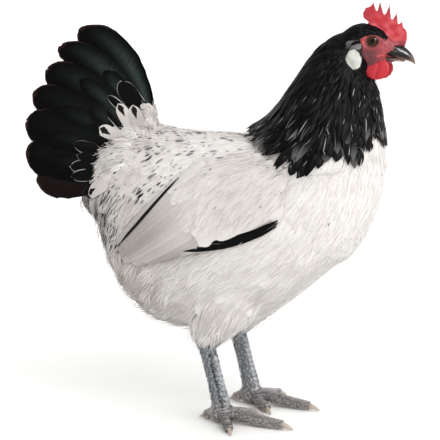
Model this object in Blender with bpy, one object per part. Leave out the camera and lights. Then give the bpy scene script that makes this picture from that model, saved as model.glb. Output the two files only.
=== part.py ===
"""A life-size standing hen of a light breed: white body, black hackle and black fanned tail.

The bird looks along +X, its left side is +Y and +Z is up. The floor is Z = 0, under the middle
of its outline. All sizes below are millimetres, and MM turns them into Blender's metres.
"""

import math

import bmesh
import bpy
from mathutils import Matrix, Vector

MM = 0.001
GAP = 0.35  # space kept between two pieces that meet

# Trunk: rings across X, each (x, top z, bottom z, half width), from the rump to the breast.
TRUNK = (
    (-142.0, 228.0, 212.0, 7.0),
    (-138.0, 243.0, 204.0, 19.0),
    (-129.0, 258.0, 195.0, 30.0),
    (-119.0, 271.0, 190.0, 36.0),
    (-111.0, 279.0, 171.0, 43.0),
    (-99.0, 288.0, 138.0, 51.0),
    (-81.0, 292.5, 110.0, 58.0),
    (-58.0, 291.0, 95.0, 62.5),
    (-25.0, 286.5, 88.0, 65.0),
    (14.0, 286.5, 89.0, 66.0),
    (50.0, 286.0, 104.0, 65.0),
    (86.0, 286.0, 127.0, 61.0),
    (118.0, 286.0, 156.5, 54.0),
    (142.0, 286.0, 173.5, 44.0),
    (156.0, 285.0, 199.0, 32.0),
    (166.5, 281.0, 229.0, 18.0),
    (170.8, 267.0, 252.0, 5.0),
)
TRUNK_RINGS, TRUNK_SIDES = 21, 20
TRUNK_WIDEST = 0.47  # height of the widest line, as a share of the ring's height
TRUNK_FULLNESS = 2.2  # exponent of the ring's superellipse

# Neck: rings between a point on the nape and one on the throat, each
# (nape x, nape z, throat x, throat z, half width, how far its sides hang below that line).
NECK = (
    (126.0, 384.0, 155.0, 343.0, 15.0, 0.0),
    (117.0, 380.0, 159.5, 337.0, 19.5, 0.0),
    (99.0, 363.0, 163.0, 326.0, 25.0, 0.0),
    (81.5, 338.0, 166.0, 312.0, 33.0, 2.0),
    (65.0, 315.0, 168.0, 299.0, 43.0, 8.0),
    (48.5, 299.0, 170.0, 289.0, 51.0, 20.0),
    (34.0, 292.0, 171.5, 278.0, 56.0, 30.0),
)
NECK_RINGS, NECK_SIDES = 10, 18
CAPE_THICKNESS = 5.0  # how far the lower hackle stands off the shoulders
CAPE_START = 0.75  # share of the neck's length below which its rings stand clear of the trunk

# Head: rings across X, each (x, top z, bottom z, half width).
HEAD = (
    (124.0, 374.5, 360.0, 6.0),
    (128.0, 382.5, 352.5, 12.5),
    (135.0, 389.0, 347.5, 15.5),
    (145.0, 393.0, 345.5, 16.5),
    (154.5, 392.5, 347.5, 16.0),
    (163.5, 389.0, 351.5, 14.5),
    (170.0, 384.0, 355.0, 11.8),
    (176.0, 379.0, 357.5, 9.3),
    (180.5, 376.0, 359.0, 7.6),
    (183.0, 373.0, 361.5, 5.0),
)
HEAD_RINGS, HEAD_SIDES = 13, 16
HEAD_WIDEST = 0.52
HEAD_FULLNESS = 2.1

# Bill: the same kind of rings, from the root inside the face to the tip.
UPPER_BILL = (
    (173.0, 375.5, 363.6, 7.6),
    (180.0, 375.0, 361.4, 6.9),
    (186.0, 372.0, 359.8, 5.7),
    (191.0, 368.4, 358.6, 4.3),
    (194.5, 364.4, 357.4, 2.9),
    (196.5, 360.4, 356.2, 1.7),
    (197.2, 357.4, 355.4, 0.6),
)
LOWER_BILL = (
    (171.0, 362.6, 357.4, 6.2),
    (178.0, 360.8, 357.0, 5.6),
    (184.0, 359.2, 356.6, 4.2),
    (188.5, 358.2, 356.6, 2.2),
)
BILL_RINGS, BILL_SIDES = 7, 10

# Eyes: whole balls that sit in sockets of the head.
EYE_CENTRE = (159.8, 9.4, 376.8)
EYE_RADIUS = 7.0

# Comb: a single upright blade of five points, as its outline in X and Z.
COMB_FRONT = ((187.0, 371.5), (189.0, 380.5), (187.5, 387.5), (185.0, 389.6))
COMB_POINTS = (  # each tip, and the notch behind it
    ((184.0, 395.0), (180.3, 392.0)),
    ((179.2, 403.0), (174.0, 395.6)),
    ((172.2, 411.2), (167.2, 399.6)),
    ((162.9, 414.2), (160.0, 403.4)),
)
COMB_BLADE = ((156.8, 412.6), (153.8, 408.6), (149.6, 407.4), (146.8, 402.4), (147.8, 398.0))
COMB_FOOT = ((154.5, 393.0), (156.0, 386.0), (170.0, 376.0), (179.0, 370.5))
COMB_FOOT_HALF, COMB_TIP_HALF = 3.2, 1.0  # half thickness at the skull and at the points
COMB_FOOT_Z, COMB_TIP_Z = 380.0, 410.0

WATTLE_CENTRE = (163.4, 8.6, 352.0)
WATTLE_RADII = (12.0, 1.9, 11.0)
WATTLE_SPLAY = 8.0  # degrees its lower edge swings outwards

LOBE_CENTRE = (143.6, 18.2, 360.2)
LOBE_RADII = (6.9, 3.0, 9.2)
LOBE_TILT = -24.0  # degrees its lower end swings forwards

# Wing: rings across its own axis, from the tip to the shoulder, each
# (distance from the tip, upper edge, lower edge, height of its crown above the trunk).
WING_TIP = (-81.0, 167.0)
WING_SLOPE = 21.4  # degrees that the axis climbs towards the shoulder
WING = (
    (-1.0, 2.0, -3.0, 2.0),
    (14.0, 13.0, -11.0, 5.0),
    (33.0, 26.0, -16.0, 7.0),
    (66.0, 43.0, -19.5, 8.5),
    (95.0, 51.0, -22.0, 9.5),
    (126.0, 55.0, -23.0, 10.0),
    (155.0, 53.0, -19.0, 9.0),
    (172.0, 43.0, -12.0, 7.0),
    (184.0, 28.0, 0.0, 4.5),
    (188.5, 18.0, 9.0, 2.0),
)
WING_RINGS, WING_SIDES = 11, 12
WING_RIM = 0.25  # share of the crown's height that the edges keep
ROOT_DEPTH = 7.0  # how far a wing's inner side is sunk in the trunk before it is cut

# Flight feathers that show below the wing's edge, as rings along the wing's axis.
FLIGHT = (
    (48.0, -15.0, -19.0, 1.6),
    (68.0, -16.0, -25.0, 3.0),
    (98.0, -16.0, -29.5, 3.6),
    (134.0, -14.0, -28.0, 3.4),
    (160.0, -10.0, -21.0, 2.6),
    (171.0, -7.0, -12.0, 1.4),
)
FLIGHT_RINGS, FLIGHT_SIDES = 7, 8

# Tail: two fans of broad feathers that meet along the ridge, like a tent.
TAIL_ROOT = (-59.0, 264.0)
TAIL_EDGES = (60.5, 50.0, 41.0, 30.0, 19.5, 6.0, -8.0, -19.0)  # above the line straight back
TAIL_REACH = (149.5, 148.5, 142.0, 140.0, 136.5, 131.5, 122.5)  # from the root to each tip
TAIL_BEND = (25.0, -22.0)  # degrees the top and the bottom feather curve between root and tip
TAIL_START = 22.0  # distance from the root where the fan begins, inside the rump
TAIL_RIDGE_Y, TAIL_ROOT_Y, TAIL_SPREAD_Y = 2.4, 20.0, 40.0
TAIL_THICK_ROOT, TAIL_THICK_TIP = 15.0, 2.2
TAIL_STEP = 1.0  # how far each feather's lower edge stands over the next one
TAIL_SCALLOP = 9.0  # depth of the notch between two tips
TAIL_SHARES = (0.0, 0.18, 0.5, 0.82, 0.97)  # places across a feather that get a row of points
TAIL_ROWS = 5

# Legs: (x, z, half length along X, half width along Y), from inside the trunk downwards.
LEG_Y = 33.5
LEG_STEP = 4.6  # the left leg stands this far ahead of the mean, and the right this far behind
THIGH = (
    (34.0, 140.0, 35.0, 25.0),
    (29.0, 121.0, 34.0, 24.0),
    (22.0, 104.0, 30.0, 21.0),
    (14.5, 92.0, 23.0, 17.0),
    (10.5, 84.0, 16.0, 12.5),
    (9.0, 77.5, 10.5, 9.5),
)
SHANK = (
    (4.5, 90.0, 9.0, 6.9),
    (7.0, 78.0, 9.0, 6.9),
    (11.5, 62.0, 8.2, 6.3),
    (16.2, 44.0, 7.9, 6.2),
    (20.0, 30.0, 8.3, 6.8),
    (22.5, 19.0, 9.2, 8.0),
    (24.0, 10.0, 9.6, 8.6),
)
LEG_RINGS, LEG_SIDES = 7, 12

FOOT_CENTRE_X = 24.0
FOOT_TURN = {"left": -4.0, "right": 2.0}  # degrees each foot points away from the middle plane
PAD_RADII = (12.5, 11.0, 10.5)
PAD_CENTRE_Z = 8.5
# Toes: (angle from the foot's own line towards the outside, length, half width, joint bulges,
# height of its middle line at the root and at the end, length of its claw).
TOES = {
    "inner": (-43.0, 37.0, 5.0, 2, 10.5, 4.4, 9.0),
    "middle": (0.0, 64.0, 5.6, 3, 11.5, 4.8, 11.0),
    "outer": (57.0, 36.0, 5.0, 3, 10.5, 4.4, 8.5),
    "hind": (188.0, 20.0, 4.6, 1, 14.0, 4.0, 6.5),
}
TOE_START = 4.0  # distance from the foot's centre where a toe begins, inside the pad
TOE_RINGS, TOE_SIDES = 6, 8
CLAW_ROOT = 3.5  # length of claw that is sunk in the toe before it is cut
CLAW_DROP = 4.0
CLAW_RINGS, CLAW_SIDES = 4, 6
FLOOR_SLAB = 0.5  # metres, side of the block that trims the soles flat at the floor

FINISHES = {
    "plume_white": ("#EDE8E5", 0.75),
    "plume_black": ("#16171A", 0.5),
    "comb_red": ("#D8333F", 0.45),
    "lobe_white": ("#E9E9E2", 0.5),
    "bill_horn": ("#4A4646", 0.35),
    "scale_slate": ("#727B85", 0.45),
    "claw_horn": ("#9A8C7E", 0.4),
    "eye_amber": ("#6A3A1C", 0.08),
}


# ---------------------------------------------------------------- scene and materials


def clear_scene():
    for obj in list(bpy.data.objects):
        bpy.data.objects.remove(obj, do_unlink=True)


def linear(channel):
    return channel / 12.92 if channel <= 0.04045 else ((channel + 0.055) / 1.055) ** 2.4


def make_material(name):
    """A Principled material of the finish table's colour and roughness."""
    hex_value, roughness = FINISHES[name]
    channels = [int(hex_value[i : i + 2], 16) / 255 for i in (1, 3, 5)]
    made = bpy.data.materials.new(name)
    made.use_nodes = True
    shader = made.node_tree.nodes["Principled BSDF"]
    shader.inputs["Base Color"].default_value = (*map(linear, channels), 1.0)
    shader.inputs["Roughness"].default_value = roughness
    return made


def make_collection(name):
    made = bpy.data.collections.new(name)
    bpy.context.scene.collection.children.link(made)
    return made


# ---------------------------------------------------------------- curves through stations


def station_slope(rows, steps, k, c):
    """Slope of column c at row k, flat where the column turns, so that nothing overshoots."""
    if k in (0, len(rows) - 1):
        j = min(k, len(rows) - 2)
        return (rows[j + 1][c] - rows[j][c]) / (steps[j + 1] - steps[j])
    before = (rows[k][c] - rows[k - 1][c]) / (steps[k] - steps[k - 1])
    after = (rows[k + 1][c] - rows[k][c]) / (steps[k + 1] - steps[k])
    return 2 * before * after / (before + after) if before * after > 0 else 0.0


def read_curve(rows, steps, at):
    """The row that a smooth curve through the rows gives at a place along the steps."""
    at = min(max(at, steps[0]), steps[-1])
    k = max(j for j in range(len(rows) - 1) if steps[j] <= at + 1e-9)
    h = steps[k + 1] - steps[k]
    t = (at - steps[k]) / h
    found = []
    for c in range(len(rows[0])):
        m0 = station_slope(rows, steps, k, c) * h
        m1 = station_slope(rows, steps, k + 1, c) * h
        straight = (2 * t**3 - 3 * t**2 + 1) * rows[k][c] + (3 * t**2 - 2 * t**3) * rows[k + 1][c]
        found.append(straight + (t**3 - 2 * t**2 + t) * m0 + (t**3 - t**2) * m1)
    return tuple(found)


def smooth_rows(rows, count):
    """count rows from a smooth curve through the given rows, evenly spaced along them."""
    steps = [0.0]
    for a, b in zip(rows, rows[1:]):
        steps.append(steps[-1] + math.dist(a[:4], b[:4]))
    return [read_curve(rows, steps, steps[-1] * i / (count - 1)) for i in range(count)]


def read_at(rows, x):
    """The row of a table of rings across X that a smooth curve gives at x."""
    return read_curve(rows, [row[0] for row in rows], x)


# ---------------------------------------------------------------- rings and lofts


def power(value, exponent):
    return math.copysign(abs(value) ** (2 / exponent), value)


def egg_ring(x, top, bottom, half, sides, widest, fullness):
    """A ring across X, fuller than an ellipse when fullness is over 2."""
    waist = bottom + (top - bottom) * widest
    points = []
    for i in range(sides):
        turn = 2 * math.pi * i / sides
        up = power(math.sin(turn), fullness)
        reach = top - waist if up > 0 else waist - bottom
        points.append(Vector((x, half * power(math.cos(turn), fullness), waist + reach * up)))
    return points


def trunk_half_width(x, z):
    """Half the trunk's width at a height, or nothing outside its side view."""
    _, top, bottom, half = read_at(TRUNK, x)
    waist = bottom + (top - bottom) * TRUNK_WIDEST
    reach = top - waist if z > waist else waist - bottom
    up = min(abs(z - waist) / reach, 1.0)
    return half * (1 - up**TRUNK_FULLNESS) ** (1 / TRUNK_FULLNESS)


def loft(rings):
    """A closed mesh through rings of points, with a cap fanned from its middle at both ends."""
    bm = bmesh.new()
    made = [[bm.verts.new(p * MM) for p in ring] for ring in rings]
    sides = len(rings[0])
    for a, b in zip(made, made[1:]):
        for i in range(sides):
            j = (i + 1) % sides
            bm.faces.new((a[i], a[j], b[j], b[i]))
    caps = [bm.faces.new(made[0]), bm.faces.new(made[-1])]
    bmesh.ops.poke(bm, faces=caps)
    bmesh.ops.recalc_face_normals(bm, faces=bm.faces)
    return bm


def add_object(name, bm, collection, material, smooth_angle=50.0):
    mesh = bpy.data.meshes.new(name)
    bmesh.ops.triangulate(bm, faces=bm.faces)
    bm.to_mesh(mesh)
    bm.free()
    mesh.shade_smooth()
    mesh.set_sharp_from_angle(angle=math.radians(smooth_angle))
    mesh.materials.append(material)
    obj = bpy.data.objects.new(name, mesh)
    collection.objects.link(obj)
    return obj


def add_pair(name, bm, collection, material):
    """A left piece and its mirror image on the right."""
    flipped = bm.copy()
    bmesh.ops.scale(flipped, vec=(1, -1, 1), verts=flipped.verts)
    bmesh.ops.reverse_faces(flipped, faces=flipped.faces)
    left = add_object(name + "_left", bm, collection, material)
    right = add_object(name + "_right", flipped, collection, material)
    return left, right


# ---------------------------------------------------------------- cutting one piece by another


def hide_helper(obj):
    obj.hide_render = True
    obj.display_type = "WIRE"


def grown(obj, cutters):
    """A hidden copy of a piece, larger by the gap all round, that cuts its neighbours."""
    name = "grown_" + obj.name
    if name in bpy.data.objects:
        return bpy.data.objects[name]
    bm = bmesh.new()
    bm.from_mesh(obj.data)
    bm.normal_update()
    moved = [v.co + v.normal * GAP * MM * v.calc_shell_factor() for v in bm.verts]
    for v, place in zip(bm.verts, moved):
        v.co = place
    mesh = bpy.data.meshes.new(name)
    bm.to_mesh(mesh)
    bm.free()
    copy = bpy.data.objects.new(name, mesh)
    hide_helper(copy)
    cutters.objects.link(copy)
    return copy


def boolean(obj, other, operation):
    step = obj.modifiers.new(operation.lower() + "_" + other.name, "BOOLEAN")
    step.operation = operation
    step.object = other


def cut_by(obj, others, cutters):
    for other in others:
        boolean(obj, grown(other, cutters), "DIFFERENCE")


# ---------------------------------------------------------------- trunk, neck and wings


def across_x(rows, count, sides, widest, fullness):
    return loft([egg_ring(*row, sides, widest, fullness) for row in smooth_rows(rows, count)])


def neck_ring(row, share):
    """One ring of the hackle. The lower ones hang over the shoulders, clear of the trunk."""
    nape_x, nape_z, throat_x, throat_z, half, hang = row
    points = []
    for i in range(NECK_SIDES):
        turn = 2 * math.pi * i / NECK_SIDES
        along, side = (1 + math.cos(turn)) / 2, math.sin(turn)
        x = nape_x + (throat_x - nape_x) * along
        z = nape_z + (throat_z - nape_z) * along - hang * abs(side) ** 1.3
        y = half * side
        if share > CAPE_START and abs(side) > 1e-6:
            y = math.copysign(max(abs(y), trunk_half_width(x, z) + CAPE_THICKNESS), side)
        points.append(Vector((x, y, z)))
    return points


def make_neck():
    rows = smooth_rows(NECK, NECK_RINGS)
    return loft([neck_ring(row, i / (NECK_RINGS - 1)) for i, row in enumerate(rows)])


def wing_point(along, across):
    """A point in the side view, from the wing's own axis."""
    c, s = math.cos(math.radians(WING_SLOPE)), math.sin(math.radians(WING_SLOPE))
    return WING_TIP[0] + along * c - across * s, WING_TIP[1] + along * s + across * c


def blade_ring(row, sides):
    """A ring across the wing's axis: its outer side arches over the trunk, its inner is sunk in."""
    along, upper, lower, crown = row
    points = []
    for i in range(sides):
        turn = 2 * math.pi * i / sides
        across = (upper + lower) / 2 + (upper - lower) / 2 * math.cos(turn)
        x, z = wing_point(along, across)
        out = math.sin(turn)
        rise = crown * (WING_RIM + (1 - WING_RIM) * out**0.8) if out > -1e-9 else ROOT_DEPTH * out
        points.append(Vector((x, trunk_half_width(x, z) + rise, z)))
    return points


def make_blade(rows, count, sides):
    return loft([blade_ring(row, sides) for row in smooth_rows(rows, count)])


# ---------------------------------------------------------------- tail


def tail_column(feather, share):
    """Down one line of the left fan, root to edge: its outer points and thicknesses."""
    place = (feather + share) / len(TAIL_REACH)
    upper, lower = TAIL_EDGES[feather : feather + 2]
    tip_angle = upper + (lower - upper) * share
    bend = TAIL_BEND[0] + (TAIL_BEND[1] - TAIL_BEND[0]) * place
    reach = TAIL_REACH[feather]
    notch = TAIL_SCALLOP * (1 - math.sqrt(1 - (2 * share - 1) ** 2))
    rows = []
    for i in range(TAIL_ROWS):
        r = TAIL_START + (reach - notch - TAIL_START) * i / (TAIL_ROWS - 1)
        part = r / reach
        angle = math.radians(tip_angle + bend * (1 - part**2))
        spread = TAIL_ROOT_Y + (TAIL_SPREAD_Y - TAIL_ROOT_Y) * part
        y = TAIL_RIDGE_Y + spread * math.sin(place * math.pi / 2) ** 1.2 + TAIL_STEP * share
        thick = TAIL_THICK_ROOT + (TAIL_THICK_TIP - TAIL_THICK_ROOT) * min(part * 1.15, 1) ** 0.7
        thick = max(thick * min(1.0, 0.25 + place * 4), TAIL_THICK_TIP)
        x = TAIL_ROOT[0] - r * math.cos(angle)
        z = TAIL_ROOT[1] + r * math.sin(angle)
        rows.append((Vector((x, y, z)), min(thick, y - GAP / 2)))
    return rows


def make_tail():
    """The left fan: a grid of feather lines, doubled into an outer and an inner face."""
    columns = [tail_column(f, s) for f in range(len(TAIL_REACH)) for s in TAIL_SHARES]
    bm = bmesh.new()
    outer = [[bm.verts.new(p * MM) for p, _ in column] for column in columns]
    inner = [[bm.verts.new((p - Vector((0, t, 0))) * MM) for p, t in column] for column in columns]
    for grid in (outer, inner):
        for a, b in zip(grid, grid[1:]):
            for i in range(TAIL_ROWS - 1):
                bm.faces.new((a[i], a[i + 1], b[i + 1], b[i]))
    edges = [e for e in bm.edges if e.is_boundary]
    bmesh.ops.bridge_loops(bm, edges=edges)
    bmesh.ops.recalc_face_normals(bm, faces=bm.faces)
    return bm


# ---------------------------------------------------------------- head


def make_ball(centre, radii, sides=12, rings=7, tilt=(0.0, 0.0, 0.0)):
    """An ellipsoid turned by tilt, in degrees about X, Y and Z."""
    bm = bmesh.new()
    bmesh.ops.create_uvsphere(bm, u_segments=sides, v_segments=rings, radius=1)
    bmesh.ops.scale(bm, vec=[r * MM for r in radii], verts=bm.verts)
    for axis, degrees in zip("XYZ", tilt):
        turn = Matrix.Rotation(math.radians(degrees), 3, axis)
        bmesh.ops.rotate(bm, verts=bm.verts, cent=(0, 0, 0), matrix=turn)
    bmesh.ops.translate(bm, vec=[c * MM for c in centre], verts=bm.verts)
    return bm


def make_comb():
    """The outline drawn flat, given thickness, and thinned towards the points."""
    bm = bmesh.new()
    points = [place for pair in COMB_POINTS for place in pair]
    outline = (*COMB_FRONT, *points, *COMB_BLADE, *COMB_FOOT)
    face = bm.faces.new([bm.verts.new((x * MM, -MM, z * MM)) for x, z in outline])
    swept = bmesh.ops.extrude_face_region(bm, geom=[face])
    far = [v for v in swept["geom"] if isinstance(v, bmesh.types.BMVert)]
    bmesh.ops.translate(bm, vec=(0, 2 * MM, 0), verts=far)
    for v in bm.verts:
        height = (v.co.z / MM - COMB_FOOT_Z) / (COMB_TIP_Z - COMB_FOOT_Z)
        share = min(max(height, 0.0), 1.0) ** 0.7
        v.co.y *= COMB_FOOT_HALF + (COMB_TIP_HALF - COMB_FOOT_HALF) * share
    bmesh.ops.recalc_face_normals(bm, faces=bm.faces)
    return bm


# ---------------------------------------------------------------- legs


def make_limb(rows, side, ahead):
    """A tapering limb from flat rings, stacked downwards."""
    rings = []
    for x, z, half_x, half_y in smooth_rows(rows, LEG_RINGS):
        centre = Vector((x + ahead, LEG_Y * side, z))
        turns = [2 * math.pi * i / LEG_SIDES for i in range(LEG_SIDES)]
        rings.append([centre + Vector((half_x * math.cos(t), half_y * math.sin(t), 0)) for t in turns])
    return loft(rings)


def tube_along(points, radii, sides):
    """A round tube through points that lie in one upright plane."""
    rings = []
    for k, centre in enumerate(points):
        ahead = points[min(k + 1, len(points) - 1)] - points[max(k - 1, 0)]
        side = Vector((0, 0, 1)).cross(ahead).normalized() * radii[k]
        up = ahead.cross(side).normalized() * radii[k]
        turns = [2 * math.pi * i / sides for i in range(sides)]
        rings.append([centre + side * math.cos(t) + up * math.sin(t) for t in turns])
    return loft(rings)


def toe_way(toe, side, turn):
    angle = math.radians(TOES[toe][0] + turn) * side
    return Vector((math.cos(angle), math.sin(angle), 0))


def make_toe(toe, centre, way):
    _, length, half, joints, root_z, end_z, _ = TOES[toe]
    points, radii = [], []
    for k in range(TOE_RINGS):
        t = k / (TOE_RINGS - 1)
        z = end_z + (root_z - end_z) * (1 - t) ** 1.6
        bulge = 1 + 0.07 * math.cos(2 * math.pi * joints * t)
        end = 1.0 if k < TOE_RINGS - 1 else 0.8
        reach = TOE_START + (length - TOE_START) * t
        points.append(centre + way * reach + Vector((0, 0, z)))
        radii.append(half * (1.12 - 0.24 * t) * bulge * end)
    return tube_along(points, radii, TOE_SIDES)


def make_claw(toe, centre, way):
    """A horn that starts inside the toe's end and curves down to a blunt point."""
    _, length, half, _, _, end_z, claw = TOES[toe]
    start = centre + way * (length - CLAW_ROOT) + Vector((0, 0, end_z + 0.4))
    drop = min(CLAW_DROP, end_z - 0.6)
    points, radii = [], []
    for k in range(CLAW_RINGS):
        t = k / (CLAW_RINGS - 1)
        points.append(start + way * (claw + CLAW_ROOT) * t - Vector((0, 0, drop * t**2)))
        radii.append(half * 0.4 * (1 - t) ** 0.75 + 0.45)
    return tube_along(points, radii, CLAW_SIDES)


def add_leg(name, side, ahead, trunk, floor, bird, cutters, finish):
    """Thigh, shank, foot and four claws of one leg."""
    centre = Vector((FOOT_CENTRE_X + ahead, LEG_Y * side, 0))
    turn = FOOT_TURN[name]
    thigh = add_object("thigh_" + name, make_limb(THIGH, side, ahead), bird, finish["plume_white"])
    shank = add_object("shank_" + name, make_limb(SHANK, side, ahead), bird, finish["scale_slate"])
    pad = make_ball((centre.x, centre.y, PAD_CENTRE_Z), PAD_RADII, 10, 6)
    foot = add_object("foot_" + name, pad, bird, finish["scale_slate"])
    cut_by(thigh, [trunk], cutters)
    cut_by(shank, [thigh, foot], cutters)
    claws = []
    for toe in TOES:
        way = toe_way(toe, side, turn)
        helper = add_object(f"toe_{name}_{toe}", make_toe(toe, centre, way), cutters, finish["scale_slate"])
        hide_helper(helper)
        boolean(foot, helper, "UNION")
        cut_by(shank, [helper], cutters)
        claw = make_claw(toe, centre, way)
        claws.append(add_object(f"claw_{name}_{toe}", claw, bird, finish["claw_horn"]))
        boolean(claws[-1], floor, "DIFFERENCE")
    boolean(foot, floor, "DIFFERENCE")
    cut_by(foot, claws, cutters)


def add_floor(cutters, finish):
    bm = bmesh.new()
    bmesh.ops.create_cube(bm, size=FLOOR_SLAB)
    bmesh.ops.translate(bm, vec=(0, 0, -FLOOR_SLAB / 2), verts=bm.verts)
    floor = add_object("floor_cutter", bm, cutters, finish)
    hide_helper(floor)
    return floor


# ---------------------------------------------------------------- the bird


def add_body(bird, cutters, finish):
    """Trunk, neck, head, wings and tail. Returns the trunk."""
    white, black = finish["plume_white"], finish["plume_black"]
    trunk_mesh = across_x(TRUNK, TRUNK_RINGS, TRUNK_SIDES, TRUNK_WIDEST, TRUNK_FULLNESS)
    trunk = add_object("trunk", trunk_mesh, bird, white)
    head_mesh = across_x(HEAD, HEAD_RINGS, HEAD_SIDES, HEAD_WIDEST, HEAD_FULLNESS)
    head = add_object("head", head_mesh, bird, finish["comb_red"])
    neck = add_object("neck", make_neck(), bird, black)
    cut_by(neck, [trunk, head], cutters)
    wings = add_pair("wing", make_blade(WING, WING_RINGS, WING_SIDES), bird, white)
    for wing in wings:
        cut_by(wing, [trunk, neck], cutters)
    flights = add_pair("flight_feathers", make_blade(FLIGHT, FLIGHT_RINGS, FLIGHT_SIDES), bird, black)
    for flight, wing in zip(flights, wings):
        cut_by(flight, [trunk, wing], cutters)
    for tail in add_pair("tail", make_tail(), bird, black):
        cut_by(tail, [trunk], cutters)
    add_head_pieces(head, neck, bird, cutters, finish)
    return trunk


def add_head_pieces(head, neck, bird, cutters, finish):
    red, horn = finish["comb_red"], finish["bill_horn"]
    eyes = add_pair("eye", make_ball(EYE_CENTRE, (EYE_RADIUS,) * 3), bird, finish["eye_amber"])
    cut_by(head, eyes, cutters)
    upper_mesh = across_x(UPPER_BILL, BILL_RINGS, BILL_SIDES, HEAD_WIDEST, HEAD_FULLNESS)
    upper = add_object("bill_upper", upper_mesh, bird, horn)
    lower_mesh = across_x(LOWER_BILL, BILL_RINGS, BILL_SIDES, HEAD_WIDEST, HEAD_FULLNESS)
    lower = add_object("bill_lower", lower_mesh, bird, horn)
    cut_by(upper, [head], cutters)
    cut_by(lower, [head, upper], cutters)
    comb = add_object("comb", make_comb(), bird, red, 30.0)
    cut_by(comb, [head, upper], cutters)
    wattle_mesh = make_ball(WATTLE_CENTRE, WATTLE_RADII, tilt=(WATTLE_SPLAY, 0, 0))
    for wattle in add_pair("wattle", wattle_mesh, bird, red):
        cut_by(wattle, [head, neck], cutters)
    lobe_mesh = make_ball(LOBE_CENTRE, LOBE_RADII, tilt=(0, LOBE_TILT, 0))
    for lobe in add_pair("earlobe", lobe_mesh, bird, finish["lobe_white"]):
        cut_by(lobe, [head, neck], cutters)


def stand_on_origin(bird):
    """Moves everything along X, so that the middle of the whole outline is at X = 0."""
    bpy.context.view_layer.update()
    graph = bpy.context.evaluated_depsgraph_get()
    places = [corner[0] for obj in bird.objects for corner in obj.evaluated_get(graph).bound_box]
    for obj in bpy.data.objects:
        obj.location.x = -(min(places) + max(places)) / 2


def main():
    clear_scene()
    bird = make_collection("hen")
    cutters = make_collection("cutters")
    finish = {name: make_material(name) for name in FINISHES}
    trunk = add_body(bird, cutters, finish)
    floor = add_floor(cutters, finish["plume_white"])
    add_leg("left", 1, LEG_STEP, trunk, floor, bird, cutters, finish)
    add_leg("right", -1, -LEG_STEP, trunk, floor, bird, cutters, finish)
    stand_on_origin(bird)


main()
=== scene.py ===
"""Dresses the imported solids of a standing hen: skin, feathers, scales, bill, claws, eyes and stage.

The tables are millimetres in the frame's axes: the bird looks along +X, its left side is +Y and +Z is
up. Feathers and scales are thin closed vanes that settle on smooth copies of the solids.
"""

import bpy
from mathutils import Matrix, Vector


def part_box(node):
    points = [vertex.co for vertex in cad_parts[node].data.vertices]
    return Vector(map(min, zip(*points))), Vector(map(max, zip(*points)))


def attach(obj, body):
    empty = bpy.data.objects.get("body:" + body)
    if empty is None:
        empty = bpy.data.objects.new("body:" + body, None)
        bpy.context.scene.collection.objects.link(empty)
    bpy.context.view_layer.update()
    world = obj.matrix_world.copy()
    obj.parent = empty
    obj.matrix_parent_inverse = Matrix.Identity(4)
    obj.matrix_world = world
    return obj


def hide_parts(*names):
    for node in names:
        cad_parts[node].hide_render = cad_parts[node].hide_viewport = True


bl_info = {
    "name": "Standing Hen",
    "version": (1, 0, 0),
    "blender": (4, 5, 0),
    "location": "View3D > Sidebar > Hen",
    "description": "Skin, plumage, scales and stage for a life-size standing hen",
    "category": "Object",
}

import copy
import math
from functools import cache, partial

import bmesh
import bpy
import numpy as np
from bpy.props import FloatProperty, FloatVectorProperty, PointerProperty
from mathutils import Vector
from mathutils.bvhtree import BVHTree

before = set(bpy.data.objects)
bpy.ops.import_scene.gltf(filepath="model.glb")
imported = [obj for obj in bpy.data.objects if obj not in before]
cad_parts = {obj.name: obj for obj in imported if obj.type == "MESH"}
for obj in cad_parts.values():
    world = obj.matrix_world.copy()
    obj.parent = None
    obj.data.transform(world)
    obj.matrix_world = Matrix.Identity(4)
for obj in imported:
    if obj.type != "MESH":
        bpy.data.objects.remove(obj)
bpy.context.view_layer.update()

MM = 0.001
BODY = "root"
SIDES = {"left": 1, "right": -1}

# ---------------------------------------------------------------- the lie of the coat

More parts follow.
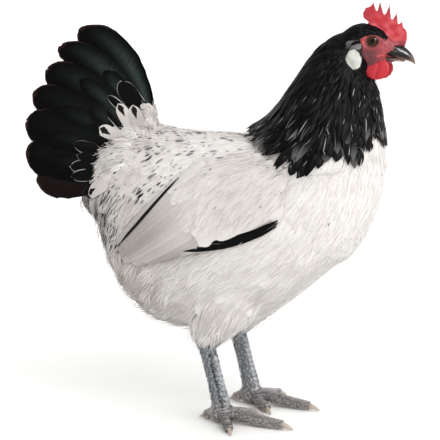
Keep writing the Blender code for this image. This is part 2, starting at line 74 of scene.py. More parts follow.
# Each row: place (x, distance from the middle plane, z), lie (x, outwards, z), feather length, half
# width, and how loose it is, from 0, tight, to 1, downy.
BODY_LIE = (
    ((60, 0, 287), (-1, 0, 0), 24, 8, 0),
    ((40, 45, 270), (-0.9, 0.2, -0.35), 26, 8.5, 0),
    ((-10, 0, 287), (-1, 0, 0), 26, 8, 0),
    ((-20, 50, 262), (-0.8, 0.1, -0.55), 28, 8.5, 0.1),
    ((-60, 0, 291), (-1, 0, 0.05), 28, 8, 0.1),
    ((-60, 50, 250), (-0.65, 0, -0.75), 30, 8.5, 0.2),
    ((-100, 0, 286), (-0.9, 0, 0.1), 28, 8, 0.2),
    ((-105, 38, 245), (-0.6, 0, -0.8), 30, 8.5, 0.3),
    ((-135, 12, 235), (-0.6, 0, -0.8), 24, 8, 0.6),
    ((-130, 25, 205), (-0.35, 0, -0.95), 24, 8, 0.8),
    ((-95, 48, 190), (-0.45, 0, -0.9), 28, 9, 0.7),
    ((-110, 20, 160), (-0.5, 0, -0.85), 26, 9, 1),
    ((-85, 20, 125), (-0.75, 0, -0.6), 26, 9, 1),
    ((-50, 50, 130), (-0.6, 0, -0.8), 26, 9, 0.9),
    ((-40, 20, 96), (-0.95, 0, -0.2), 24, 9, 1),
    ((0, 62, 160), (-0.75, 0, -0.65), 28, 9.5, 0.6),
    ((20, 40, 105), (-0.5, 0, -0.85), 24, 9, 0.8),
    ((10, 42, 88), (-0.1, 0, -1), 20, 7, 0.8),
    ((55, 60, 175), (-0.8, 0, -0.6), 28, 9.5, 0.4),
    ((60, 20, 110), (-0.9, 0, -0.45), 26, 9, 0.6),
    ((110, 50, 220), (-0.6, 0.1, -0.8), 28, 10, 0.2),
    ((110, 20, 155), (-0.8, 0, -0.6), 28, 10, 0.4),
    ((150, 30, 240), (-0.3, 0.2, -0.9), 26, 10, 0.1),
    ((166, 0, 260), (-0.1, 0, -1), 26, 10, 0.1),
    ((150, 0, 200), (-0.6, 0, -0.8), 26, 10, 0.2),
)
WING_LIE = (
    ((40, 50, 270), (-0.9, 0.1, -0.4), 24, 7.5, 0),
    ((0, 55, 258), (-0.8, 0.1, -0.6), 26, 7.5, 0.1),
    ((10, 68, 235), (-0.5, 0, -0.85), 28, 8, 0.3),
    ((-25, 62, 240), (-0.7, 0, -0.75), 26, 7.5, 0.2),
    ((75, 64, 245), (-0.5, 0, -0.85), 24, 7.5, 0.1),
    ((80, 66, 220), (-0.7, 0, -0.7), 22, 7.5, 0.2),
    ((40, 72, 205), (-0.6, 0, -0.8), 26, 8, 0.3),
)
NECK_LIE = (
    ((165, 0, 386), (-0.9, 0.2, 0.3), 6, 1.5, 0),
    ((158, 13, 384), (-0.9, 0.1, 0), 6, 1.5, 0),
    ((140, 0, 391), (-1, 0, -0.2), 9, 1.8, 0),
    ((138, 15, 376), (-0.8, 0.1, -0.5), 9, 1.8, 0),
    ((120, 0, 380), (-0.7, 0, -0.7), 18, 2.4, 0),
    ((126, 16, 362), (-0.6, 0.2, -0.8), 18, 2.4, 0),
    ((98, 0, 358), (-0.6, 0, -0.8), 32, 3, 0.1),
    ((78, 0, 330), (-0.6, 0, -0.8), 42, 3.8, 0.1),
    ((48, 0, 300), (-0.8, 0, -0.55), 44, 4, 0.1),
    ((112, 28, 330), (-0.5, 0.3, -0.85), 36, 3.4, 0.1),
    ((88, 48, 300), (-0.65, 0.3, -0.75), 46, 4.2, 0.1),
    ((58, 50, 282), (-0.85, 0.2, -0.5), 44, 4.2, 0.1),
    ((102, 62, 268), (-0.4, 0.1, -0.92), 46, 4.6, 0.1),
    ((148, 12, 345), (-0.1, 0.1, -1), 14, 2.4, 0.2),
    ((160, 0, 335), (0.05, 0, -1), 16, 2.8, 0.2),
    ((148, 30, 310), (-0.1, 0.2, -1), 34, 3.8, 0.2),
    ((165, 0, 300), (0, 0, -1), 30, 4, 0.2),
    ((143, 42, 280), (-0.05, 0.1, -1), 38, 4.6, 0.1),
)
# The hackle's lower edge, as z for places x.
HACKLE_EDGE = (
    (30, 288), (44, 279), (61, 267), (80, 259), (96, 254), (106, 253), (120, 259), (135, 267), (150, 262),
    (163, 279),
)
LIE_REACH = 30.0  # how far one row of these tables is felt
NECK_LIE_REACH = 18.0

GROW = 0.6  # the solids' copies are grown by this, so that they close the gaps between them
COAT_DEPTH = 4.5  # skin to outer surface on the body
BODY_VOXEL, WING_VOXEL, HEAD_VOXEL, LEG_VOXEL = 2.6, 1.6, 0.64, 1.1
NECK_CUT = ((131.0, 0.0, 347.0), (0.58, 0.0, 0.815))  # plane between the head's mesh and the body's
LEG_CUT = ((0.0, 0.0, 84.0), (0.0, 0.0, 1.0))  # plane between the body's mesh and the legs'
CUT_GAP = 1.2  # width of the strip that joins two of them
CUT_MARGIN = 8.0  # how far past its plane a zone's solids are kept until it is remeshed

# Bare face: its rear edge as x for heights z, and its upper edge, the brow, as z for places x.
FACE_REAR = ((344, 156.0), (350, 153.0), (356, 151.9), (366, 147.6), (371.5, 148.5), (380, 145.0))
FACE_BROW = ((145, 379.5), (151, 382.0), (157, 382.7), (163.4, 381.5), (167.8, 377.5), (170, 379.7))
BILL_EDGE = ((358, 169.5), (362, 169.0), (364.5, 168.5), (366.5, 172.0), (369, 176.0), (373, 177.0))
WATTLES = ("wattle_left", "wattle_right")
LOBES = ("earlobe_left", "earlobe_right")
BARE_PARTS = ("comb", *WATTLES, *LOBES)

EYE_CENTRE = (157.3, 9.4, 376.8)
EYE_RADIUS = 7.0
EYE_OPENING = (5.0, 4.4)  # half length and half height between the lids

# Bill: rings across X, each (x, top z, bottom z, half width), from inside the face to the tip.
UPPER_BILL = (
    (167.5, 373, 363.6, 9.6),
    (172, 374.4, 362.6, 9.4),
    (177.5, 375.2, 361.2, 7.7),
    (183.5, 372.6, 359.6, 5.8),
    (188.5, 368.6, 358.6, 4.4),
    (192, 364.6, 357.4, 3),
    (194, 360.6, 356, 1.8),
    (194.8, 357.4, 355, 0.7),
)
LOWER_BILL = (
    (166.5, 364, 358.6, 8.6),
    (172, 363, 358.4, 7.8),
    (179, 361.4, 358.2, 5.4),
    (183, 360.2, 358, 3.2),
    (185, 359.4, 358, 1.4),
)

# Tail: the same fan as the solids'. Angles are above the line straight back from the root.
TAIL_ROOT = (-61.5, 264.0)
TAIL_EDGES = (60.5, 50.0, 41.0, 30.0, 19.5, 6.0, -8.0, -19.0)
TAIL_REACH = (149.5, 148.5, 142.0, 140.0, 136.5, 131.5, 122.5)
TAIL_BEND = (25.0, -22.0)
TAIL_START = 22.0
TAIL_RIDGE_Y, TAIL_ROOT_Y, TAIL_SPREAD_Y = 2.4, 20.0, 40.0
# Strengths of the painted sheen on the tail feathers and the black coverts.
TAIL_SHEEN = (1.2, 1.1, 0.6, 0.2, 0.1, 0.1, 0.1)  # of each tail feather, from the top
COVERT_SHEEN = (1.0, 0.7, 0.6, 0.3, 0.2, 0.2)  # of each black covert, from the top

# Coverts over the tail's base: (angle, reach, length, half width).
LACED_COVERTS = (
    (62, 81, 46, 9.5),
    (48, 75, 42, 4.5),
    (40, 69, 42, 5),
    (14, 64, 40, 7),
    (6, 84, 46, 6.5),
    (-1, 80, 44, 6),
    (-10, 88, 46, 7),
    (-17, 88, 44, 6.5),
    (-28, 85, 46, 7.5),
)
SPOTTED_COVERTS = (
    (63, 59, 38, 7.5),
    (51, 66, 40, 6.5),
    (23, 64, 40, 8),
    (-34, 74, 42, 8),
)
BLACK_COVERTS = (
    (58, 100, 60, 10),
    (42, 107, 62, 10),
    (33, 82, 44, 9),
    (21, 108, 60, 10),
    (8, 110, 56, 9.5),
    (-6, 106, 50, 9),
)
# White fluff round the tail's base: how far it reaches from the root at each angle.
CUSHION = (
    (-45, 58), (-28, 64), (-12, 62), (12, 56), (35, 49), (50, 48), (64, 51), (78, 53), (92, 46), (100, 40),
)

# Wing feathers in the side view: root (x, z), tip (x, z), half width, sag of its line, height over
# the wing's sheet.
SECONDARY_ROOTS = ((6.0, 262.0), (46.0, 197.0))  # of the innermost and the outermost feather
SECONDARY_TIPS = ((-80.0, 177.5), (-80.0, 168.0), (-75.0, 159.0), (-50.0, 160.5), (-18.0, 177.0))
SECONDARIES = 15
PRIMARIES = (
    ((83.0, 213.0), (14.0, 186.5), 3.4, 4.0, 0.7),
    ((83.0, 210.5), (3.0, 180.5), 3.2, 4.5, 0.4),
    ((82.0, 207.5), (-16.0, 176.0), 2.8, 5.5, 0.3),
)
WING_STREAK = ((-17.0, 247.0), (-79.0, 174.5), 1.7, 7.0, 2.6)  # black edge of the innermost secondary
# The lower edge of the wing's coverts, and of the part of back and wing that has flecks, as z for
# places x.
COVERT_EDGE = ((-30, 272), (-14, 258), (10, 216), (20, 206), (45, 211), (90, 222))
FLECKED_ABOVE = ((-90, 212), (-15, 236), (55, 289))

# Where the coat is parted into pieces.
SADDLE_Z, BREAST_X, FRONT_X = 225, 60, 30

# Distances between the vanes of the smaller tracts, the puffs of down and the small scales.
COLLAR_SPACING, CROWN_SPACING, COVERT_SPACING, WING_DOWN_SPACING = 3.6, 2.1, 6.2, 2.3
PUFF_SPACING, SCALE_SPACING = 19.0, 2.7

# Legs, as in the solids.
LEG_Y = 33.5
LEG_AHEAD = {"left": 4.6, "right": -4.6}
SHANK_LINE = ((10.0, 24.0), (19.0, 22.5), (30.0, 20.0), (44.0, 16.2), (62.0, 11.5), (90.0, 4.5))
# Large scales down each shank: (angle round it, drop, darkness, length, half width).
SHANK_SCUTES = ((-24, 0, 0, 6.6, 3.0), (16, 2.5, 0.15, 6.6, 3.0), (60, 1.2, 1, 3.7, 2.0))
SCUTE_ROWS = (82.0, 20.0, -5.0)  # heights of their rows: from, to and step
TOE_SCUTE, TOE_SCUTE_STEP = (0, 4.8, 6.6), 3.7  # the same for those on the toes, and their distance
SHANK_REACH, TOE_REACH = 14.0, 9.0  # from the middle lines to places outside the surface
SCALES_Z = (1.2, 84.0)  # heights between which small scales grow
SCUTE_ROOM = 2.6  # distance of small scales from the roots of the large ones
FOOT_X = 21.5
FOOT_TURN = {"left": -4.0, "right": 2.0}
# Toes: (angle, length, half width, root z, end z, claw length).
TOES = {
    "inner": (-43.0, 37.0, 5.0, 10.5, 4.4, 9.0),
    "middle": (0.0, 64.0, 5.6, 11.5, 4.8, 11.0),
    "outer": (57.0, 36.0, 5.0, 10.5, 4.4, 8.5),
    "hind": (188.0, 20.0, 4.6, 14.0, 4.0, 6.5),
}


# ---------------------------------------------------------------- numbers and arrays


def ease(value, low, high):
    """0 below low, 1 above high and a smooth step between."""
    t = np.clip((np.asarray(value, float) - low) / (high - low), 0, 1)
    return t * t * (3 - 2 * t)


def fade(value, low, high):
    """1 below low, 0 above high and a smooth step between."""
    return ease(-np.asarray(value), -high, -low)


def band(value, start, full, last, end):
    """1 from full to last, 0 outside start and end and smooth steps between."""
    return ease(value, start, full) * fade(value, last, end)


def blend(a, b, share):
    """a for a share of 0, b for a share of 1."""
    return a + (b - a) * share


def unit(vectors):
    return vectors / np.maximum(np.linalg.norm(vectors, axis=-1, keepdims=True), 1e-9)


def dot(a, b):
    return np.sum(a * b, axis=-1)


def bell(value, middle, width):
    """1 at the middle, falling off on both sides."""
    return np.exp(-(((np.asarray(value, float) - middle) / width) ** 2))


def read_table(table, at):
    """The second column of a table, read at places of the first."""
    keys, values = zip(*table)
    return np.interp(at, keys, values)


def ripple(points, size, seed, waves=14):
    """Smooth noise from -1 to 1 whose lumps are about the given size."""
    rng = np.random.default_rng(seed)
    ways = unit(rng.normal(0, 1, (waves, 3))) * rng.uniform(0.7, 1.4, (waves, 1))
    turns = points @ ways.T * (2 * math.pi / (2 * size)) + rng.uniform(0, 2 * math.pi, waves)
    return np.cos(turns).sum(axis=1) / math.sqrt(waves)


def read_vectors(data, key):
    """A stored property of a mesh's items, one row for each."""
    found = np.empty(len(data) * 3, np.float32)
    data.foreach_get(key, found)
    return found.reshape(-1, 3).astype(float)


def write(data, key, values):
    """Stores a property of a mesh's items."""
    data.foreach_set(key, values.astype(np.float32).ravel())


def mesh_points(mesh):
    return read_vectors(mesh.vertices, "co") / MM


def mesh_normals(mesh):
    return read_vectors(mesh.vertex_normals, "vector")


def set_mesh_points(mesh, points):
    write(mesh.vertices, "co", points * MM)
    mesh.update()


def new_mesh(name, bm):
    """The mesh of a bmesh, which is freed."""
    mesh = bpy.data.meshes.new(name)
    bm.to_mesh(mesh)
    bm.free()
    return mesh


def as_bmesh(mesh):
    bm = bmesh.new()
    bm.from_mesh(mesh)
    return bm


def new_object(name, data):
    obj = bpy.data.objects.new(name, data)
    bpy.context.scene.collection.objects.link(obj)
    return obj


# ---------------------------------------------------------------- surfaces that the coat lies on


class Form:
    """A closed smooth surface, in millimetres."""

    def __init__(self, mesh):
        mesh.calc_loop_triangles()
        corners = np.empty(len(mesh.loop_triangles) * 3, np.int32)
        mesh.loop_triangles.foreach_get("vertices", corners)
        self.corners = corners.reshape(-1, 3)
        self.points = mesh_points(mesh)
        self.normals = mesh_normals(mesh)
        self.tree = BVHTree.FromPolygons(self.points.tolist(), self.corners.tolist())

    def settle(self, places):
        """The nearest spots on the surface, and the smooth normals there."""
        found = [self.tree.find_nearest(place) for place in places.reshape(-1, 3).tolist()]
        spots = np.array([hit[0] for hit in found])
        corners = self.corners[[hit[2] for hit in found]]
        a, b, c = (self.points[corners[:, i]] for i in range(3))
        whole = np.cross(b - a, c - a)
        size = np.maximum(dot(whole, whole), 1e-12)
        weight_b = np.clip(dot(np.cross(spots - a, c - a), whole) / size, 0, 1)
        weight_c = np.clip(dot(np.cross(b - a, spots - a), whole) / size, 0, 1)
        weights = np.stack([np.clip(1 - weight_b - weight_c, 0, 1), weight_b, weight_c], axis=1)
        normals = unit(np.einsum("nk,nkc->nc", weights, self.normals[corners]))
        return spots.reshape(places.shape), normals.reshape(places.shape)

    def seen_from_side(self, places, side):
        """The outermost spots at places (x, z) on one side of the bird, and which of them exist."""
        spots = []
        for x, z in places:
            hit = self.tree.ray_cast((x, 200.0 * side, z), (0, -side, 0))[0]
            spots.append(hit if hit is not None and hit[1] * side > 0 else None)
        there = np.array([spot is not None for spot in spots])
        return np.array([tuple(spot) for spot in spots if spot is not None]), there

    def scatter(self, spacing, keep, rng):
        """Spots over the surface at about the given spacing, where keep(points) is true."""
        a, b, c = (self.points[self.corners[:, i]] for i in range(3))
        area = np.linalg.norm(np.cross(b - a, c - a), axis=1) / 2
        count = int(area.sum() / spacing**2 * 6)
        pick = rng.choice(len(area), count, p=area / area.sum())
        u, v = rng.random(count), rng.random(count)
        over = u + v > 1
        u[over], v[over] = 1 - u[over], 1 - v[over]
        spots = a[pick] + (b - a)[pick] * u[:, None] + (c - a)[pick] * v[:, None]
        spots = spots[keep(spots)]
        return spots[thinned(spots, spacing)]


class Sheet:
    """A smooth cubic surface y(x, z) through one side of a form, which runs on past its edges."""

    SCALE = 50.0

    def __init__(self, points, side):
        self.side = side
        self.middle = points.mean(axis=0)
        self.weights = np.linalg.lstsq(self.powers(points)[0], points[:, 1], rcond=None)[0]

    def powers(self, places):
        """The cubic's terms and their slopes along X and Z."""
        u, w = ((places[..., i] - self.middle[i]) / self.SCALE for i in (0, 2))
        one, none = np.ones_like(u), np.zeros_like(u)
        terms = (one, u, w, u * u, u * w, w * w, u**3, u * u * w, u * w * w, w**3)
        along_x = (none, one, none, 2 * u, w, none, 3 * u * u, 2 * u * w, w * w, none)
        along_z = (none, none, one, none, u, 2 * w, none, u * u, 2 * u * w, 3 * w * w)
        slopes = (np.stack(part, axis=-1) / self.SCALE for part in (along_x, along_z))
        return np.stack(terms, axis=-1), *slopes

    def settle(self, places):
        terms, along_x, along_z = self.powers(places)
        spots = np.stack([places[..., 0], terms @ self.weights, places[..., 2]], axis=-1)
        slope_x, slope_z = along_x @ self.weights, along_z @ self.weights
        normals = np.stack([-slope_x, np.ones_like(slope_x), -slope_z], axis=-1) * self.side
        return spots, unit(normals)


def thinned(spots, spacing):
    """The places in the list of spots that are left when none may lie nearer than the spacing."""
    cells = {}
    kept = []
    around = [(x, y, z) for x in (-1, 0, 1) for y in (-1, 0, 1) for z in (-1, 0, 1)]
    for i, spot in enumerate(spots.tolist()):
        x, y, z = (int(c // spacing) for c in spot)
        near = (other for u, v, w in around for other in cells.get((x + u, y + v, z + w), ()))
        if all(math.dist(spot, other) >= spacing for other in near):
            cells.setdefault((x, y, z), []).append(spot)
            kept.append(i)
    return kept


def merged_copy(name):
    """A node's mesh with its loose triangles joined, grown a little along its normals."""
    bm = as_bmesh(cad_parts[name].data)
    bmesh.ops.remove_doubles(bm, verts=bm.verts, dist=0.01 * MM)
    bm.normal_update()
    moved = [v.co + v.normal * GROW * MM for v in bm.verts]
    for v, place in zip(bm.verts, moved):
        v.co = place
    return bm


def add_mesh(bm, other):
    """Adds one bmesh to another and frees it."""
    held = new_mesh("held", other)
    bm.from_mesh(held)
    bpy.data.meshes.remove(held)


def evaluated(bm, set_up):
    """The mesh that modifiers make of a bmesh, which is freed. set_up(obj) adds the modifiers."""
    obj = new_object("held", new_mesh("held", bm))
    set_up(obj)
    graph = bpy.context.evaluated_depsgraph_get()
    made = bpy.data.meshes.new_from_object(obj.evaluated_get(graph))
    bpy.data.meshes.remove(obj.data)
    return made


def remeshed(bm, voxel, steps):
    """A closed mesh of small even faces round the given solids, rounded by smoothing steps."""

    def set_up(obj):
        grid = obj.modifiers.new("grid", "REMESH")
        grid.mode = "VOXEL"
        grid.voxel_size = voxel * MM
        rounded = obj.modifiers.new("rounded", "SMOOTH")
        rounded.factor = 0.5
        rounded.iterations = steps

    made = as_bmesh(evaluated(bm, set_up))
    keep_largest_shell(made)
    return new_mesh("held", made)


def keep_largest_shell(bm):
    """Leaves only the shell with the most points, so that no bubble stays inside."""
    left = set(bm.verts)
    shells = []
    while left:
        stack = [left.pop()]
        shell = list(stack)
        while stack:
            for edge in stack.pop().link_edges:
                for v in edge.verts:
                    if v in left:
                        left.remove(v)
                        shell.append(v)
                        stack.append(v)
        shells.append(shell)
    shells.sort(key=len)
    for shell in shells[:-1]:
        bmesh.ops.delete(bm, geom=shell, context="VERTS")


TORSO = ("trunk", "neck", "head", "thigh_left", "thigh_right")
WINGS = ("wing_left", "wing_right")
FORMS = {
    "body": (TORSO, BODY_VOXEL, 5),
    "winged_body": (TORSO + WINGS, BODY_VOXEL, 3),
    "rump": (("trunk", "tail_left", "tail_right", "thigh_left", "thigh_right"), BODY_VOXEL, 4),
    "wing_left": (("wing_left",), WING_VOXEL, 3),
    "wing_right": (("wing_right",), WING_VOXEL, 3),
    "leg_left": (("thigh_left", "shank_left", "foot_left"), LEG_VOXEL, 3),
    "leg_right": (("thigh_right", "shank_right", "foot_right"), LEG_VOXEL, 3),
}


@cache
def form(name):
    """The smooth surface that one tract of feathers or scales lies on."""
    nodes, voxel, steps = FORMS[name]
    bm = bmesh.new()
    for node in nodes:
        add_mesh(bm, merged_copy(node))
    return Form(remeshed(bm, voxel, steps))


def wing_sheet(side_name):
    """The outer surface of a folded wing."""
    surface, side = form("wing_" + side_name), SIDES[side_name]
    low, high = (Vector(corner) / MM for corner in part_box("wing_" + side_name))
    grid = [(x, z) for x in np.arange(low.x, high.x, 5.0) for z in np.arange(low.z, high.z, 5.0)]
    spots, _ = surface.seen_from_side(grid, side)
    _, normals = surface.settle(spots)
    return Sheet(spots[np.abs(normals[:, 1]) > 0.45], side)


@cache
def solid_tree(name):
    """The surface of a CAD node."""
    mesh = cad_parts[name].data
    mesh.calc_loop_triangles()
    corners = [tuple(t.vertices) for t in mesh.loop_triangles]
    return BVHTree.FromPolygons(mesh_points(mesh).tolist(), corners)


def distance_to(places, *names):
    """How far places are from the nearest of some CAD nodes."""
    trees, spots = [solid_tree(name) for name in names], places.tolist()
    return np.min([[tree.find_nearest(spot)[3] for spot in spots] for tree in trees], axis=0)


def nearest_of(groups, places):
    """Which group of nodes each place is nearest to, by its number."""
    return np.argmin([distance_to(places, *group) for group in groups], axis=0)


def read_lie(table, reach, places):
    """Lie, and length, half width and looseness, at places, from a table of rows."""
    spots, ways, sizes = [], [], []
    for (x, y, z), (dx, dy, dz), *size in table:
        for side in (1, -1) if y else (1,):
            spots.append((x, y * side, z))
            ways.append((dx, dy * side, dz))
            sizes.append(size)
    spots, ways, sizes = (np.array(column, float) for column in (spots, ways, sizes))
    away = np.linalg.norm(places[:, None] - spots[None], axis=2)
    weights = np.exp(-((away / reach) ** 2)) + 1e-6 / (1 + away)
    weights /= weights.sum(axis=1, keepdims=True)
    return unit(weights @ ways), weights @ sizes


body_lie = partial(read_lie, BODY_LIE, LIE_REACH)
wing_lie = partial(read_lie, WING_LIE, LIE_REACH)
neck_lie = partial(read_lie, NECK_LIE, NECK_LIE_REACH)


def towards(tips, sag):
    """A lie that leads each feather to its own tip, bowed by sag below the straight line."""
    whole = {}

    def lie(places):
        ahead = tips - places
        left = np.linalg.norm(ahead, axis=1, keepdims=True)
        start = whole.setdefault("length", left)
        share = np.clip(left / start, 0, 1)
        down = np.array((0.0, 0.0, -1.0)) * (sag[:, None] * 4 / start * (2 * share - 1))
        return unit(ahead / np.maximum(left, 1e-6) + down), None

    return lie


# ---------------------------------------------------------------- vanes


class Cut:
    """The outline of a vane: its rows along and columns across, and how wide each row is."""

    def __init__(
        self, rows, columns, widths, round_tip=0.0, camber=0.8, tear=0.05, thin=0.3, crowd=1.0, rise=2.2
    ):
        self.along = 1 - (1 - np.linspace(0, 1, rows)) ** crowd
        self.across = np.linspace(-1, 1, columns + 1)
        self.width = np.interp(self.along, *zip(*widths))
        self.round_tip, self.camber, self.tear, self.thin, self.rise = round_tip, camber, tear, thin, rise


OVAL = ((0, 0.35), (0.35, 0.9), (0.6, 1.0), (0.8, 0.94), (0.9, 0.76), (0.96, 0.5), (1, 0.12))
POINTED = ((0, 0.4), (0.3, 0.9), (0.5, 1.0), (0.75, 0.72), (0.9, 0.32), (1, 0.03))
ROUNDED = (
    (0, 0.5), (0.3, 0.8), (0.65, 1.0), (0.86, 0.98), (0.93, 0.88), (0.97, 0.66), (0.99, 0.4), (1, 0.15),
)
CONTOUR = Cut(9, 7, OVAL, 0.1, 0.2, 0.02, 0.2, 1.7, 5.0)
COVERT = Cut(14, 8, OVAL, 0.1, 0.6, 0.006, 0.2, 1.8)
HACKLE = Cut(12, 6, POINTED, 0.0, 0.7, 0.02, 0.2)
CROWN = Cut(5, 2, ((0, 0.5), (0.4, 1.0), (0.75, 0.8), (1, 0.15)), camber=0.35, thin=0.12, tear=0.02)
STRAND = Cut(4, 2, ((0, 0.8), (0.4, 1.0), (0.75, 0.7), (1, 0.08)), camber=0.3, thin=0.08, tear=0.0)
FLIGHT = Cut(18, 8, ((0, 0.6), (0.2, 0.9), (0.5, 1.0), (0.9, 0.9), (1, 0.45)), 0.9, 0.22, 0.01, 0.12)
PRIMARY = Cut(20, 6, ((0, 0.2), (0.15, 0.8), (0.5, 1.0), (0.8, 0.8), (1, 0.1)), 0.2, 0.5, 0.02, 0.15)
TAILER = Cut(26, 24, ROUNDED, 0.0, 1.5, 0.01, 0.3, 2.0)
LENS = ((0, 0.2), (0.35, 0.85), (0.6, 1.0), (0.85, 0.6), (1, 0.1))
FLECK = Cut(5, 2, LENS, camber=0.15, tear=0.0, thin=0.06)
SCUTE = Cut(4, 4, ((0, 0.7), (0.4, 1.0), (0.8, 0.95), (1, 0.7)), 0.5, camber=0.45, tear=0.0, thin=0.2)
GRAIN = Cut(4, 2, ((0, 0.6), (0.4, 1.0), (0.8, 0.9), (1, 0.5)), 0.4, camber=0.4, tear=0.0, thin=0.2)


class Vanes:
    """Vanes of one cut that lie on a surface: arrays with one row for each."""

    PER_VANE = ("roots", "length", "half", "base", "tip", "roll", "ragged", "swerve", "line")

    def __init__(self, cut, surface, roots, lie, length, half, rng):
        count = len(roots)
        self.cut, self.surface, self.roots, self.lie, self.rng = cut, surface, roots, lie, rng
        self.notes = {}
        self.give(length=length, half=half, ragged=cut.tear)
        self.give(base=-COAT_DEPTH - 0.5, tip=rng.uniform(0.2, 0.9, count))  # heights over the surface
        self.give(roll=rng.normal(0, 0.05, count), swerve=rng.normal(0, 0.08, count))
        self.give(line=np.nan)  # where across it a pale line runs, if not along the edge

    def give(self, **values):
        """Sets sizes, or else notes for the material: one for all, one for each vane or for each row."""
        for key, value in values.items():
            value = np.array(value, float)
            value = value if value.ndim else np.full(len(self.roots), value)
            if key in self.PER_VANE:
                setattr(self, key, value)
            else:
                self.notes[key] = value

    def chosen(self, keep):
        """Only some of the vanes. Their lie has to hold for any places."""
        made = copy.copy(self)
        for name in self.PER_VANE:
            setattr(made, name, getattr(self, name)[keep])
        made.notes = {key: value[keep] for key, value in self.notes.items()}
        return made

    def spines(self):
        """Walks each vane's middle line over the surface, following the lie."""
        spot, normal = self.surface.settle(self.roots)
        way = None
        spots, normals, ways = [], [], []
        for step in np.diff(self.cut.along, append=1.0):
            lie, _ = self.lie(spot)
            lie = lie + np.cross(normal, lie) * self.swerve[:, None]
            flat = unit(lie - normal * dot(lie, normal)[:, None])
            way = flat if way is None else unit(way * 0.4 + flat * 0.6)
            spots.append(spot)
            normals.append(normal)
            ways.append(way)
            spot, normal = self.surface.settle(spot + way * (self.length * step)[:, None])
            way = unit(way - normal * dot(way, normal)[:, None])
        return [np.stack(column, axis=1) for column in (spots, normals, ways)]

    def trimmed(self, stops, shortest):
        """Ends each vane where stops(points) first holds on its way, and drops the short ones."""
        spots, _, _ = self.spines()
        out = stops(spots.reshape(-1, 3)).reshape(spots.shape[:2])
        last = np.where(out.any(axis=1), np.argmax(out, axis=1) - 1, len(self.cut.along) - 1)
        self.length = self.length * self.cut.along[np.maximum(last, 0)]
        return self.chosen(self.length > shortest)

    def narrow_in_hollows(self):
        """Makes vanes narrower where the surface rises beside them, so that none stands off it."""
        spots, normals, ways = self.spines()
        aside = np.cross(ways, normals) * self.half[:, None, None]
        rise = [dot(self.surface.settle(spots + aside * turn)[0] - spots, normals) for turn in (1, -1)]
        self.half *= np.sqrt(np.clip(0.5 / np.maximum(np.max(rise, axis=(0, 2)), 0.5), 0.06, 1))

    def shape(self):
        """Places of all points, vane by row by column."""
        cut, rng, count = self.cut, self.rng, len(self.roots)
        spots, normals, ways = self.spines()
        sideways = np.cross(ways, normals)
        along, across = cut.along, cut.across
        rows, columns = len(along), len(across)
        each = (slice(None), None, None)
        uneven = 1 + rng.normal(0, 1, (count, rows, 2)) * self.ragged[each]
        uneven[:, 0] = 1
        reach = across * cut.width[:, None] * self.half[each] * uneven[:, :, (across > 0).astype(int)]
        back = cut.round_tip * self.half[each] * across**2 * along[:, None] ** 4
        tear = np.abs(rng.normal(0, 1, (count, 1, columns))) * self.ragged[each]
        back = back + tear * self.length[each] * along[:, None] ** 8
        flat = spots[:, :, None] + sideways[:, :, None] * reach[..., None]
        flat = flat - ways[:, :, None] * back[..., None]
        on, up = self.surface.settle(flat)
        rise = 1 - (1 - along) ** cut.rise
        height = self.base[:, None] + (self.tip - self.base)[:, None] * rise
        arch = np.maximum(cut.camber * np.minimum(cut.width, 1)[:, None], cut.thin) * (1 - across**2)
        height = height[:, :, None] + arch + self.roll[each] * reach
        rim = (1 - np.abs(across)) * cut.width[:, None] * self.half[each]
        end = (1 - along[:, None]) * self.length[each]
        self.shaft = np.abs(reach)
        drawn = np.abs(reach - self.line[each] * cut.width[:, None] * self.half[each])
        self.edge = np.where(np.isnan(self.line[each]), np.minimum(rim, end), drawn)
        placed = on + up * height[..., None]
        # In a hollow of the surface a vane spans it, so that its own back stays below it.
        share = (across[:, None] + 1) / 2
        whole = placed[:, :, -1:] - placed[:, :, :1]
        over = normals[:, :, None]
        over = unit(over - whole * (dot(over, whole) / np.maximum(dot(whole, whole), 1e-9))[..., None])
        lack = cut.thin * (1 - across**2) - dot(placed - placed[:, :, :1] - whole * share, over)
        return placed + over * np.maximum(lack, 0)[..., None]


def ring_faces(count, rows, columns):
    """Corners and starts of the faces of closed vanes, each rows by columns points."""
    index = np.arange(rows * columns).reshape(rows, columns)
    ahead = np.roll(index, -1, axis=1)
    quads = np.stack([index[:-1], ahead[:-1], ahead[1:], index[1:]], axis=-1).reshape(-1)
    one = np.concatenate([quads, index[0][::-1], index[-1]])
    sizes = np.concatenate([np.full(len(quads) // 4, 4), [columns, columns]])
    corners = (one[None] + (np.arange(count) * rows * columns)[:, None]).reshape(-1)
    sizes = np.tile(sizes, count)
    starts = np.concatenate([[0], np.cumsum(sizes)[:-1]])
    return corners.astype(np.int32), starts.astype(np.int32)


PATCH_CELLS = 320  # cells along one side of the bake map
PATCH = 0.003  # size of one vane's patch


def bake_map(roots, chart, used):
    """A patch's corner for each root on an unwrap of the skin, no two in one cell."""
    u, v = chart(roots)
    cells = (np.clip(np.stack([u, v], axis=1), 0, 0.999) * PATCH_CELLS).astype(int)
    places = []
    for x, y in cells.tolist():
        ring = 0
        while (x, y) in used:
            ring += 1
            x, y = (x + ring) % PATCH_CELLS, (y + ring % 3) % PATCH_CELLS
        used.add((x, y))
        places.append((x, y))
    return np.array(places) / PATCH_CELLS


def lengthwise_chart(points):
    """Unwraps the body round its long axis: distance along it, and angle."""
    return (points[:, 0] + 200) / 400, np.arctan2(points[:, 1], points[:, 2] - 200) / (2 * math.pi) + 0.5


def upright_chart(points):
    """Unwraps the neck or a leg round an upright axis: height, and angle."""
    middle = np.where(points[:, 2] > 250, 118 + (points[:, 2] - 330) * 0.35, 15)
    beside = np.where(points[:, 2] > 250, points[:, 1], np.abs(points[:, 1]) - LEG_Y)
    return (points[:, 2] % 200) / 200, np.arctan2(beside, points[:, 0] - middle) / (2 * math.pi) + 0.5


